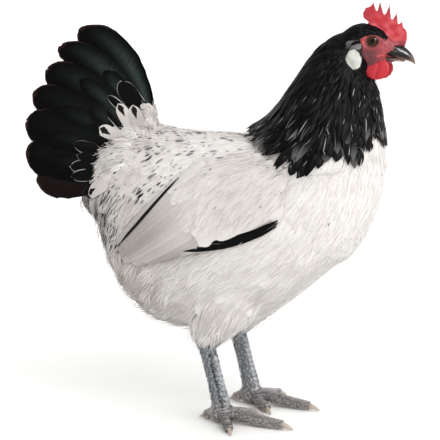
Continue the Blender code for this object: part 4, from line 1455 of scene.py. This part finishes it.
def past_hackle(points):
    """How far places are below the hackle's lower edge, which runs nearly level on the back."""
    x, _, z = points.T
    return (read_table(HACKLE_EDGE, x) - z) / np.interp(x, (40, 95), (0.25, 1.0))


def on_body(points):
    """Where white feathers grow: the body and the base of the neck, but not under the wings."""
    part = nearest_of(NECK_PARTS, points)
    hidden = (distance_to(points, *WINGS) < 2.0) & (points[:, 2] < SADDLE_Z) & (points[:, 0] < BREAST_X)
    return ((part == 2) | (part == 0) & (past_hackle(points) > -14)) & ~hidden & (points[:, 2] > 80)


def puffs(surface, roots):
    """How high on a puff of down each root is: 1 at its middle, 0 in the furrow round it."""
    middles = surface.scatter(PUFF_SPACING, on_body, np.random.default_rng(17))
    away = np.min(np.linalg.norm(roots[:, None] - middles[None], axis=2), axis=1)
    return fade(away, 2.0, 12.0)


def rear_smudge(roots, rng):
    """Black marks in the fluff under the tail."""
    x, _, z = roots.T
    rear = fade(x, -92, -72) * band(z, 180, 194, 226, 240) * ease(ripple(roots, 6.0, 34), -0.4, 0.2)
    return np.where(rng.random(len(x)) < rear * 0.9, rng.uniform(0.6, 1.0, len(x)), 0.0)


def shade_white(vanes, loose, puff, rng):
    """Paints shade on white vanes, smudges them, and lowers those that lie under the hackle."""
    vanes.tip -= 0.6 * fade(past_hackle(vanes.roots), -4, 6)
    # Painted shade: greyer at the rear, on the saddle, below and in the furrows between puffs of down.
    tone = np.clip(grey_clouds(vanes.roots, rng) + 0.4 * loose * (1 - puff), 0, 1)
    vanes.give(tone=tone, dark=rear_smudge(vanes.roots, rng))


def fleck_vanes(surface, places, lie, rng):
    """Small black flecks, which are the dark tips of white feathers, thick on back and saddle."""
    x, _, z = places.T
    back = ease(z - read_table(FLECKED_ABOVE, x), -8, 12)
    patch = ease(ripple(places, 8.0, 41), -1.0, 0.8)
    roots = places[rng.random(len(places)) < 0.004 * ease(z, 150, 200) + 0.28 * back * patch]
    count = len(roots)
    large = rng.random(count) ** 2.5
    vanes = Vanes(FLECK, surface, roots, lie, 3.0 + 6.0 * large, 0.4 + 1.1 * large, rng)
    vanes.give(base=0.2, tip=rng.uniform(0.6, 1.0, count), dark=rng.uniform(0.6, 1.0, count))
    return vanes


def table_vanes(cut, surface, roots, lie, rng):
    """Vanes as long and wide as the lie's table says, and how loose they are."""
    sizes = lie(roots)[1]
    return Vanes(cut, surface, roots, lie, sizes[:, 0], sizes[:, 1], rng), sizes[:, 2]


class HEN_OT_body_feathers(bpy.types.Operator):
    """Lays the contour feathers of back, breast, flanks and belly"""

    bl_idname = "hen.body_feathers"
    bl_label = "Body feathers"

    def execute(self, context):
        rng = np.random.default_rng(11)
        surface = form("body")
        roots = surface.scatter(context.scene.hen_coat.body_spacing / MM, on_body, rng)
        vanes, loose = table_vanes(CONTOUR, surface, roots, body_lie, rng)
        ends = vanes.spines()[0][:, -1]
        puff = np.minimum(puffs(surface, roots), puffs(surface, ends))
        vanes.give(tip=rng.uniform(-0.15, -0.05, len(roots)) + loose * (1.2 * puff - 0.4))
        vanes.give(roll=0.0, ragged=CONTOUR.tear + 0.04 * loose)
        shade_white(vanes, loose, puff, rng)
        vanes.narrow_in_hollows()
        x, _, z = roots.T
        high, ahead = z > SADDLE_Z, x >= BREAST_X
        for name, part in (("back", high & ~ahead), ("breast", ahead), ("belly", ~high & ~ahead)):
            batch = [vanes.chosen(part)]
            vane_object("feathers_" + name, batch, material(white_feather), lengthwise_chart)
        return {"FINISHED"}


class HEN_OT_down(bpy.types.Operator):
    """Adds the fine loose strands that blur the belly, thighs and rump"""

    bl_idname = "hen.down"
    bl_label = "Down"

    def execute(self, context):
        rng = np.random.default_rng(13)
        surface = form("body")
        roots = surface.scatter(context.scene.hen_coat.down_spacing / MM, on_body, rng)
        loose = body_lie(roots)[1][:, 2]
        count = len(roots)
        length = rng.uniform(10, 18, count) + 4 * loose
        half = rng.uniform(0.3, 0.6, count) + 0.2 * loose
        puff = puffs(surface, roots)
        vanes = Vanes(STRAND, surface, roots, body_lie, length, half, rng)
        stray = rng.random(count) + 4.0 * rng.random(count) ** 8
        vanes.give(base=-1.0, tip=rng.uniform(0.2, 0.5, count) + loose * (2.0 * puff - 0.2 + 0.5 * stray))
        swerve = rng.normal(0, 0.1, count)
        vanes.give(swerve=swerve + loose * (0.2 * ripple(roots, 9.0, 33) + rng.normal(0, 0.12, count)))
        shade_white(vanes, loose, puff, rng)
        flecks = fleck_vanes(surface, roots, body_lie, rng)
        vanes = vanes.chosen((past_hackle(roots) > -9) & (rng.random(count) < 0.7 + loose))
        fine = vanes.chosen(rng.random(len(vanes.roots)) < 0.3 * (body_lie(vanes.roots)[1][:, 2] - 0.35))
        fine.give(half=fine.half * 0.3, length=fine.length * 1.2, tip=rng.uniform(3.0, 6.5, len(fine.roots)))
        x, y, _ = vanes.roots.T
        front, left = x >= FRONT_X, y >= 0
        for name, part in (("front", front), ("rear_left", ~front & left), ("rear_right", ~front & ~left)):
            batches = [vanes.chosen(part), *([fine, flecks] if name == "front" else [])]
            vane_object("down_" + name, batches, material(white_feather), lengthwise_chart)
        return {"FINISHED"}


class HEN_OT_hackle(bpy.types.Operator):
    """Lays the long pointed feathers of the neck and the short ones of the crown"""

    bl_idname = "hen.hackle"
    bl_label = "Hackle"

    def execute(self, context):
        rng = np.random.default_rng(12)
        surface = form("body")

        def on_neck(points):
            above = points[:, 2] > read_table(HACKLE_EDGE, points[:, 0]) + 12
            return (nearest_of(NECK_PARTS, points) == 0) & (above_collar(points) < -2) & above

        def on_collar(points):
            return (nearest_of(NECK_PARTS, points) < 2) & (np.abs(above_collar(points) + 2) < 20)

        def on_bare(points):
            return (bare_face(points) > 0.5) | (distance_to(points, *LOBES) < 0.3)

        def on_crown(points):
            bare = on_bare(points) | (distance_to(points, "comb") < 1.0)
            return (nearest_of(NECK_PARTS, points) < 2) & (above_collar(points) > 8) & ~bare

        batches = []
        for cut, spacing, keep, base in (
            (HACKLE, context.scene.hen_coat.hackle_spacing / MM, on_neck, -2.2),
            (HACKLE, COLLAR_SPACING, on_collar, -2.0),
            (CROWN, CROWN_SPACING, on_crown, -1.2),
        ):
            roots = surface.scatter(spacing, keep, rng)
            count = len(roots)
            vanes, _ = table_vanes(cut, surface, roots, neck_lie, rng)
            vanes.give(base=base)
            ahead = rng.random(count) < 0.3
            reach = np.where(ahead, rng.uniform(-4, 5, count), rng.uniform(-24, -5, count))
            reach = np.repeat(reach, len(cut.along))
            if cut is HACKLE:
                vanes.give(half=vanes.half * np.where(ahead, 1.1, 1.0))
                vanes.give(tip=rng.uniform(0.4, 1.0, count) + 0.6 * ahead, swerve=rng.normal(0, 0.15, count))
                vanes = vanes.trimmed(lambda points: past_hackle(points) > reach, 8.0)
            else:
                vanes.give(tip=rng.uniform(0.1, 0.5, count))
            batches.append(vanes.trimmed(on_bare, 2.5))
        for vanes in batches:
            x, _, z = vanes.roots.T
            count, along = len(z), vanes.cut.along
            # Pale streaks with soft ends beside some shafts, grey vanes at the ear, faded tips low down.
            streaked = rng.random(count) < 0.85 * fade(z, 315, 358)
            wide = np.where(streaked, 0.12 + 0.5 * rng.random(count) ** 2, 0)
            start = rng.uniform(0.1, 0.6, (count, 1))
            end = start + rng.uniform(0.4, 0.9, (count, 1))
            ends = ease(along - start, 0, 0.3) * ease(end - along, 0, 0.3)
            ear = band(x, 138, 141, 148, 151) * band(z, 368, 371, 378, 381)
            grey = ear * (rng.random(count) < 0.9) * rng.uniform(0.15, 0.55, count)
            if vanes.cut is HACKLE:
                vanes.give(line=rng.choice((-1 / 3, 1 / 3), count))
            faded = (rng.random(count) < 0.3 * fade(z, 300, 325)) * rng.uniform(0.1, 0.4, count)
            vanes.give(dark=1 - np.maximum(grey[:, None], faded[:, None] * ease(along, 0.45, 0.9)))
            # The squared random value sets the painted gloss on the barbs, strong on a few feathers.
            vanes.give(tone=rng.uniform(0, 1, count) ** 2, lace=wide[:, None] * ends)
        for name, part in (("hackle", batches[:2]), ("crown", batches[2:])):
            vane_object(name + "_feathers", part, material(black_feather), upright_chart)
        return {"FINISHED"}


# ---------------------------------------------------------------- wings


def side_view_vanes(cut, sheet, rows, rng):
    """Vanes from rows (root, tip, half width, sag, height), each place an (x, z) of the side view."""
    ends = zip(*(row[:2] for row in rows))
    roots, tips = (sheet.settle(np.array([(x, 0.0, z) for x, z in places]))[0] for places in ends)
    half, sag, height = (np.array([row[i] for row in rows], float) for i in (2, 3, 4))
    vanes = Vanes(cut, sheet, roots, towards(tips, sag), np.linalg.norm(tips - roots, axis=1), half, rng)
    vanes.give(base=height - 0.6, tip=height, roll=0.0, swerve=0.0)
    return vanes


def secondaries():
    """Rows of the wing's own feathers, from the innermost, on top, to the outermost, below."""
    rows = []
    top, low = (np.array(place) for place in SECONDARY_ROOTS)
    tips = np.array(SECONDARY_TIPS)
    for k in range(SECONDARIES):
        share = k / (SECONDARIES - 1)
        at = share * (len(tips) - 1)
        tip = [np.interp(at, range(len(tips)), tips[:, i]) for i in (0, 1)]
        rows.append((top + (low - top) * share, tip, 5.6 - 0.8 * share, 5.0 - share, 1.6 - 1.6 * share))
    return rows


class HEN_OT_wings(bpy.types.Operator):
    """Lays the coverts, the white secondaries and the black primaries of both wings"""

    bl_idname = "hen.wings"
    bl_label = "Wings"

    def execute(self, context):
        surface = form("winged_body")
        for name, side in SIDES.items():
            rng = np.random.default_rng(14)
            sheet = wing_sheet(name)
            white = side_view_vanes(FLIGHT, sheet, secondaries(), rng)
            # Painted shade of the secondaries, stronger towards their tips.
            greyer = 0.3 + 1.1 * FLIGHT.along**1.2
            white.give(tone=rng.uniform(0.7, 1.0, SECONDARIES)[:, None] * greyer)
            beside = np.abs(FLIGHT.across)
            lines = (np.maximum(0, 1 - beside * 4) * 0.2 + beside**6 * 0.6) * FLIGHT.along[:, None]
            white.give(dark=rng.uniform(0.2, 1.0, SECONDARIES)[:, None, None] * lines)
            streak = side_view_vanes(PRIMARY, sheet, [WING_STREAK], rng)
            streak.give(dark=1.0)

            def keep(points):
                x, y, z = points.T
                near = nearest_of((("wing_" + name,), ("trunk",), ("neck",)), points) == 0
                return near & (y * side > 20) & (z > read_table(COVERT_EDGE, x))

            roots = surface.scatter(COVERT_SPACING, keep, rng)
            count = len(roots)
            coverts, _ = table_vanes(CONTOUR, surface, roots, wing_lie, rng)
            tip = rng.uniform(1.1, 1.3, count) * (1 - 0.9 * ease(roots[:, 0], 30, 62))
            # How much painted shade the coverts carry where others cover them.
            coverts.give(base=-3.0, tip=tip, roll=0.0, tone=rng.uniform(0.2, 0.35, count))

            def keep_fine(points):
                return keep(points + np.array((0, 0, 26.0)) * fade(points[:, :1], 4, 24))

            fine = surface.scatter(WING_DOWN_SPACING, keep_fine, rng)
            count = len(fine)
            half = rng.uniform(0.25, 0.5, count)
            barbs = Vanes(STRAND, surface, fine, wing_lie, rng.uniform(12, 20, count), half, rng)
            lower = ease(fine[:, 0], 30, 62)
            barbs.give(base=0.9 - lower, tip=rng.uniform(1.5, 1.9, count) - lower)
            # How much painted shade the barbs carry.
            barbs.give(tone=rng.uniform(0.05, 0.4, count))
            flecks = fleck_vanes(surface, fine, wing_lie, rng)
            flecks.give(base=flecks.base + 1.5, tip=flecks.tip + 1.5)
            batches = [white, streak, coverts, barbs, flecks]
            vane_object("wing_feathers_" + name, batches, material(white_feather), side_chart)
            black = side_view_vanes(PRIMARY, sheet, PRIMARIES, rng)
            black.give(dark=1.0, lace=0.3)
            dress = material(black_feather)
            node = "flight_feathers_" + name
            vane_object("primaries_" + name, [black], dress, side_chart, (node,))
        return {"FINISHED"}


# ---------------------------------------------------------------- tail


def fan_point(feather, side, r, share):
    """A place on one feather of the tail, given by its reach and its share across."""
    upper, lower = TAIL_EDGES[feather : feather + 2]
    place = (feather + np.clip(share, -0.3, 1.3)) / len(TAIL_REACH)
    bend = blend(*TAIL_BEND, place)
    part = r / TAIL_REACH[feather]
    angle = np.radians(blend(upper, lower, share) + bend * (1 - part**2))
    spread = blend(TAIL_ROOT_Y, TAIL_SPREAD_Y, part)
    middle = (feather + 0.5) / len(TAIL_REACH)
    y = TAIL_RIDGE_Y + spread * math.sin(middle * math.pi / 2) ** 1.2
    slope = spread * ((feather + 1) / len(TAIL_REACH) - middle) * 1.2
    y = y + (share - 0.5) * slope + 1.6 * (share - 0.5)
    return np.stack([TAIL_ROOT[0] - r * np.cos(angle), y * side, TAIL_ROOT[1] + r * np.sin(angle)], axis=-1)


def tail_feather_points(cut, feather, side, rng):
    """Points of one tail feather, with a raised shaft and frayed edges."""
    point = partial(fan_point, feather, side)
    along, across = cut.along, cut.across
    reach = TAIL_REACH[feather]
    upper, lower = TAIL_EDGES[feather : feather + 2]
    half = 0.5 * math.radians(upper - lower) * reach * 1.05 + 1.0
    r = TAIL_START + (reach - TAIL_START) * along[:, None]
    wide = across * cut.width[:, None] * half
    wide = wide * (1 + rng.normal(0, 0.03, (len(along), 1)))
    room = 0.6 * math.radians(upper - lower) * r / half
    last = (feather == 0) & (across < 0) | (feather == len(TAIL_REACH) - 1) & (across > 0)
    wide = np.where(last, wide * np.minimum(1, room), wide)
    back = cut.round_tip * half * np.abs(across) ** 2.4 * along[:, None] ** 5
    back = back + np.abs(rng.normal(0, 2.0, len(across))) * along[:, None] ** 14
    r = r - back
    spacing = math.radians(upper - lower) * np.maximum(r, 30.0)
    share = 0.5 + wide / spacing
    points = point(r, share)
    more, aside = point(r + 1.0, share), point(r, share + 0.02)
    normals = unit(np.cross(more - points, aside - points))
    normals = normals * np.sign(normals[..., 1:2] * side)
    ridge = 0.5 * bell(np.abs(wide), 0.0, 0.9) * (1 - 0.7 * along[:, None])
    height = cut.camber * (1 - across**2) * np.minimum(cut.width, 1)[:, None] + ridge
    return points + normals * height[..., None], np.abs(wide), half


class TailVanes:
    """The tail feathers of one side, in the same form as the other vanes."""

    def __init__(self, side, rng):
        self.cut = TAILER
        made = [tail_feather_points(TAILER, feather, side, rng) for feather in range(len(TAIL_REACH))]
        self.points = np.stack([points for points, _, _ in made])
        if side > 0:
            self.points = self.points[:, :, ::-1]
        self.shaft = np.stack([shaft for _, shaft, _ in made])
        half = np.array([half for _, _, half in made])
        self.length = np.array(TAIL_REACH) - TAIL_START
        along = TAILER.along[:, None]
        rim = (1 - np.abs(TAILER.across)) * TAILER.width[:, None] * half[:, None, None]
        self.edge = np.minimum(rim, (1 - along) * self.length[:, None, None])
        self.roots = self.points[:, 0, len(TAILER.across) // 2]
        self.notes = {
            "dark": np.array([1.0] * (len(made) - 1) + [0.75]),
            "lace": np.tile(3.0 * ease(TAILER.along, 0.8, 1.0), (len(made), 1)),
            # Painted sheen: a paler band beside each feather's shaft, strongest on the top feathers.
            "tone": np.array(TAIL_SHEEN)[:, None, None] * bell(TAILER.across * side, 0.25, 0.4),
        }

    def shape(self):
        return self.points


def fan_vanes(cut, surface, rows, side, rng):
    """Vanes from rows (angle, reach, length, half width) round the tail's root."""
    ends = []
    for turn, share in ((1.0, 0.0), (1.2, 1.0)):
        angles = np.radians([row[0] * turn for row in rows])
        reach = np.array([row[1] - row[2] * share for row in rows])
        places = zip(TAIL_ROOT[0] - reach * np.cos(angles), TAIL_ROOT[1] + reach * np.sin(angles))
        spots, there = surface.seen_from_side(list(places), side)
        if not there.all():
            raise RuntimeError("a tail covert starts or ends off the body")
        ends.append(spots)
    tips, roots = ends
    lie = towards(tips, np.zeros(len(rows)))
    length = np.linalg.norm(tips - roots, axis=1)
    vanes = Vanes(cut, surface, roots, lie, length, [row[3] for row in rows], rng)
    vanes.give(base=-3.0)
    return vanes


def fan_place(points):
    """Angle and distance from the tail's root, as the side view shows them."""
    back, up = TAIL_ROOT[0] - points[..., 0], points[..., 2] - TAIL_ROOT[1]
    return np.degrees(np.arctan2(up, back)), np.hypot(back, up)


def past_rim(points):
    """How far places are outside the white fluff at the tail's base."""
    angle, away = fan_place(points)
    return away - read_table(CUSHION, angle)


def outwards(places):
    """A lie that leads away from the tail's root."""
    ahead = places - np.array((TAIL_ROOT[0], 0.0, TAIL_ROOT[1]))
    return unit(ahead * np.array((1.0, 0.2, 1.0))), None


class HEN_OT_tail(bpy.types.Operator):
    """Fans the tail feathers and lays the laced coverts over their base"""

    bl_idname = "hen.tail"
    bl_label = "Tail"

    def execute(self, context):
        surface = form("rump")
        white, black, horn = (material(make) for make in (white_feather, black_feather, tail_feather))
        for name, side in SIDES.items():
            rng = np.random.default_rng(15)
            tail = TailVanes(side, rng)
            vane_object("tail_feathers_" + name, [tail], horn, side_chart, ("tail_" + name,))
            count = len(SPOTTED_COVERTS)
            vanes = fan_vanes(COVERT, surface, SPOTTED_COVERTS, side, rng)
            # The random value sets the painted shade on their white parts.
            vanes.give(tip=rng.uniform(1.8, 3.2, count), tick=3.0, tone=rng.uniform(0.3, 0.8, count))
            count = len(LACED_COVERTS)
            edged = fan_vanes(COVERT, surface, LACED_COVERTS, side, rng)
            edged.give(tip=rng.uniform(1.8, 3.2, count), dark=1.0)
            sides = np.where(COVERT.across < 0, *rng.uniform(0.15, 1.0, (2, count, 1)))
            worn = 0.7 + 0.5 * np.sin(COVERT.along * 9.0 + rng.uniform(0, 6, (count, 1)))
            edged.give(lace=sides[:, None] * worn[..., None])
            vane_object("laced_coverts_" + name, [edged], black, side_chart)

            def on_base(points):
                angle, away = fan_place(points)
                inside = (away > 14) & (away < read_table(CUSHION, angle) - 8)
                return (points[:, 1] * side > -1) & (angle > -25) & (angle < 100) & inside

            count = len(BLACK_COVERTS)
            dark = fan_vanes(COVERT, surface, BLACK_COVERTS, side, rng)
            dark.give(tip=rng.uniform(0.8, 1.6, count), dark=1.0, lace=0.3)
            # Painted sheen down the middle of each black covert, strongest on the top ones.
            dark.give(tone=np.array(COVERT_SHEEN)[:, None, None] * bell(COVERT.across, 0.0, 0.5))
            vane_object("tail_overlay_" + name, [dark], horn, side_chart)
            batches = [vanes]
            for cut, spacing, long, wide, low, high in (
                (CONTOUR, 4.5, (18, 28), (2.5, 4.0), 0.3, 0.8),
                (STRAND, 1.6, (12, 20), (0.3, 0.6), 1.0, 2.2),
            ):
                spots = surface.scatter(spacing, on_base, rng)
                count = len(spots)
                sizes = [rng.uniform(*limits, count) for limits in (long, wide)]
                fluff = Vanes(cut, surface, spots, outwards, *sizes, rng)
                fluff.give(base=-2.0, tip=rng.uniform(low, high, count), swerve=rng.normal(0, 0.1, count))
                # Painted shade in soft patches.
                fluff.give(tone=np.clip(0.25 * ripple(spots, 8.0, 18) + 0.25, 0, 1))
                reach = np.repeat(rng.uniform(-14, 3, count), len(cut.along))
                batches.append(fluff.trimmed(lambda points: past_rim(points) > reach, 5.0))
            vane_object("tail_coverts_" + name, batches, white, side_chart)
        return {"FINISHED"}


# ---------------------------------------------------------------- legs


def toe_line(toe, name, t):
    """A place on a toe's middle line, from its root, 0, to its end, 1."""
    angle, length, _, root_z, end_z, _ = TOES[toe]
    side = SIDES[name]
    turn = math.radians(angle + FOOT_TURN[name]) * side
    reach = 4.0 + (length - 4.0) * t
    z = end_z + (root_z - end_z) * max(1 - t, 0) ** 1.6
    x = FOOT_X + LEG_AHEAD[name] + math.cos(turn) * reach
    return Vector((x, LEG_Y * side + math.sin(turn) * reach, z))


def claw_rings(toe, name):
    """Round rings along a claw that curves down to its point."""
    _, _, half, _, end_z, claw = TOES[toe]
    start, back = toe_line(toe, name, 1.0), toe_line(toe, name, 0.9)
    way = Vector((start.x - back.x, start.y - back.y, 0)).normalized()
    side = Vector((0, 0, 1)).cross(way)
    drop = min(4.0, end_z - 0.6)
    rings = []
    for k in range(9):
        t = k / 8
        centre = start - way * 3.5 + way * (claw + 3.5) * t - Vector((0, 0, drop * t**2 - 0.4))
        radius = half * 0.5 * (1 - t) ** 0.6 + 0.4
        up = Vector((0, 0, 1)) * radius * 1.1
        turns = [2 * math.pi * i / 12 for i in range(12)]
        rings.append([centre + side * radius * math.cos(a) + up * math.sin(a) for a in turns])
    return rings


class HEN_OT_claws(bpy.types.Operator):
    """Adds the claws"""

    bl_idname = "hen.claws"
    bl_label = "Claws"

    def execute(self, context):
        for name in SIDES:
            for toe in TOES:
                mesh = evaluated(sweep(claw_rings(toe, name)), add_subdivision)
                points = mesh_points(mesh)
                points[:, 2] = np.maximum(points[:, 2], 0.05)
                set_mesh_points(mesh, points)
                mesh.shade_smooth()
                node = f"claw_{name}_{toe}"
                finish_object(node + "_horn", mesh, material(claw_horn), (node,))
        return {"FINISHED"}


class HEN_OT_scales(bpy.types.Operator):
    """Lays the scales of shanks and toes"""

    bl_idname = "hen.scales"
    bl_label = "Scales"

    def execute(self, context):
        for name, side in SIDES.items():
            rng = np.random.default_rng(16)
            surface = form("leg_" + name)
            centre = Vector((FOOT_X + LEG_AHEAD[name], LEG_Y * side, 0))

            def down(places):
                """Down the shank, and outwards along the toes."""
                flat = places - np.array(centre)
                flat[:, 2] = 0
                low = ease(-places[:, 2], -22, -12)[:, None]
                return unit(np.array((0.25, 0, -1.0)) * (1 - low) + unit(flat) * low), None

            rows = []
            for z in np.arange(*SCUTE_ROWS):
                x = read_table(SHANK_LINE, z) - 2.5 + LEG_AHEAD[name]
                for turn, lower, *row in SHANK_SCUTES:
                    angle = math.radians(turn) * side
                    y = LEG_Y * side + SHANK_REACH * math.sin(angle)
                    rows.append((x + SHANK_REACH * math.cos(angle), y, z - lower, *row))
            for toe, (_, length, *_) in TOES.items():
                for t in np.arange(0.12, 0.98, TOE_SCUTE_STEP / length):
                    place = toe_line(toe, name, t)
                    rows.append((place.x, place.y, place.z + TOE_REACH, *TOE_SCUTE))
            rows = np.array(rows)
            roots, _ = surface.settle(rows[:, :3])
            count = len(roots)
            dark, length, half = rows[:, 3:].T
            large = Vanes(SCUTE, surface, roots, down, length, half, rng)
            large.give(base=-0.7, tip=rng.uniform(0.35, 0.6, count), roll=0.0, swerve=0.0)
            large.give(tone=rng.uniform(0.3, 1.0, count), dark=dark * rng.uniform(0.75, 1.0, count))

            def keep(points):
                away = np.min(np.linalg.norm(points[:, None] - roots[None], axis=2), axis=1)
                low, high = SCALES_Z
                return (points[:, 2] < high) & (points[:, 2] > low) & (away > SCUTE_ROOM)

            spots = surface.scatter(SCALE_SPACING, keep, rng)
            count = len(spots)
            small = Vanes(GRAIN, surface, spots, down, 3.9, 1.75, rng)
            small.give(base=-0.6, tip=rng.uniform(0.0, 0.15, count), tone=rng.uniform(0.0, 0.5, count))
            batches = [large, small]
            vane_object("leg_scales_" + name, batches, material(leg_scale), upright_chart)
        return {"FINISHED"}


# ---------------------------------------------------------------- stage


class HEN_OT_stage(bpy.types.Operator):
    """Adds the floor, the lights and the camera"""

    bl_idname = "hen.stage"
    bl_label = "Stage"

    def execute(self, context):
        stage = context.scene.hen_stage
        flat = math.cos(stage.rise)
        back = Vector((math.sin(stage.turn) * flat, -math.cos(stage.turn) * flat, math.sin(stage.rise)))
        target = Vector((0.0025, 0.0, 0.198))
        camera = bpy.data.cameras.new("camera")
        camera.sensor_width = 36.0
        camera.lens = camera.sensor_width * stage.distance / stage.width
        obj = new_object("camera", camera)
        obj.location = target + back * stage.distance
        obj.rotation_euler = back.to_track_quat("Z", "Y").to_euler()
        context.scene.camera = obj
        bm = bmesh.new()
        bmesh.ops.create_grid(bm, x_segments=60, y_segments=60, size=6.0)
        for v in bm.verts:
            v.co.z = 1.4 * float(ease(v.co.xy.length, 3.5, 6.5))
        floor = new_object("floor", new_mesh("floor", bm))
        floor.data.shade_smooth()
        floor.data.materials.append(material(floor_paint))
        for name, kind, place, size, power in (
            ("key", "SUN", (2.2, -1.3, 1.5), math.radians(70.0), 2.3),
            ("rim", "AREA", (0.2, 1.6, 2.2), 1.6, 6.0),
            ("glint", "AREA", (0.77, -0.51, 1.01), 0.2, 11.0),
        ):
            light = bpy.data.lights.new(name, kind)
            light.energy = power
            setattr(light, "angle" if kind == "SUN" else "size", size)
            lamp = new_object(name, light)
            lamp.location = place
            lamp.visible_diffuse = name != "glint"
            lamp.rotation_euler = (Vector(place) - target).to_track_quat("Z", "Y").to_euler()
        world = bpy.data.worlds.new("studio")
        world.use_nodes = True
        background = world.node_tree.nodes["Background"]
        background.inputs["Color"].default_value = (1, 1, 1, 1)
        background.inputs["Strength"].default_value = 0.82
        context.scene.world = world
        context.scene.view_settings.view_transform = "Standard"
        return {"FINISHED"}


STEPS = (
    HEN_OT_stage,
    HEN_OT_skin,
    HEN_OT_eyes,
    HEN_OT_bill,
    HEN_OT_body_feathers,
    HEN_OT_down,
    HEN_OT_wings,
    HEN_OT_tail,
    HEN_OT_hackle,
    HEN_OT_claws,
    HEN_OT_scales,
)


class HEN_PT_panel(bpy.types.Panel):
    """Lists the steps and their sizes and colours"""

    bl_idname = "HEN_PT_panel"
    bl_label = "Standing Hen"
    bl_space_type = "VIEW_3D"
    bl_region_type = "UI"
    bl_category = "Hen"

    def draw(self, context):
        for step in STEPS:
            self.layout.operator(step.bl_idname)
        for name in GROUPS:
            group = getattr(context.scene, name)
            for key in group.__annotations__:
                self.layout.prop(group, key)


GROUPS = {"hen_coat": HenCoat, "hen_skin": HenSkin, "hen_stage": HenStage}
CLASSES = (*GROUPS.values(), *STEPS, HEN_PT_panel)


def register():
    for item in CLASSES:
        bpy.utils.register_class(item)
    for name, group in GROUPS.items():
        setattr(bpy.types.Scene, name, PointerProperty(type=group))


def unregister():
    for name in GROUPS:
        delattr(bpy.types.Scene, name)
    for item in reversed(CLASSES):
        bpy.utils.unregister_class(item)


def main():
    register()
    for step in STEPS:
        group, operator = step.bl_idname.split(".")
        getattr(getattr(bpy.ops, group), operator)()


if __name__ == "__main__":
    main()
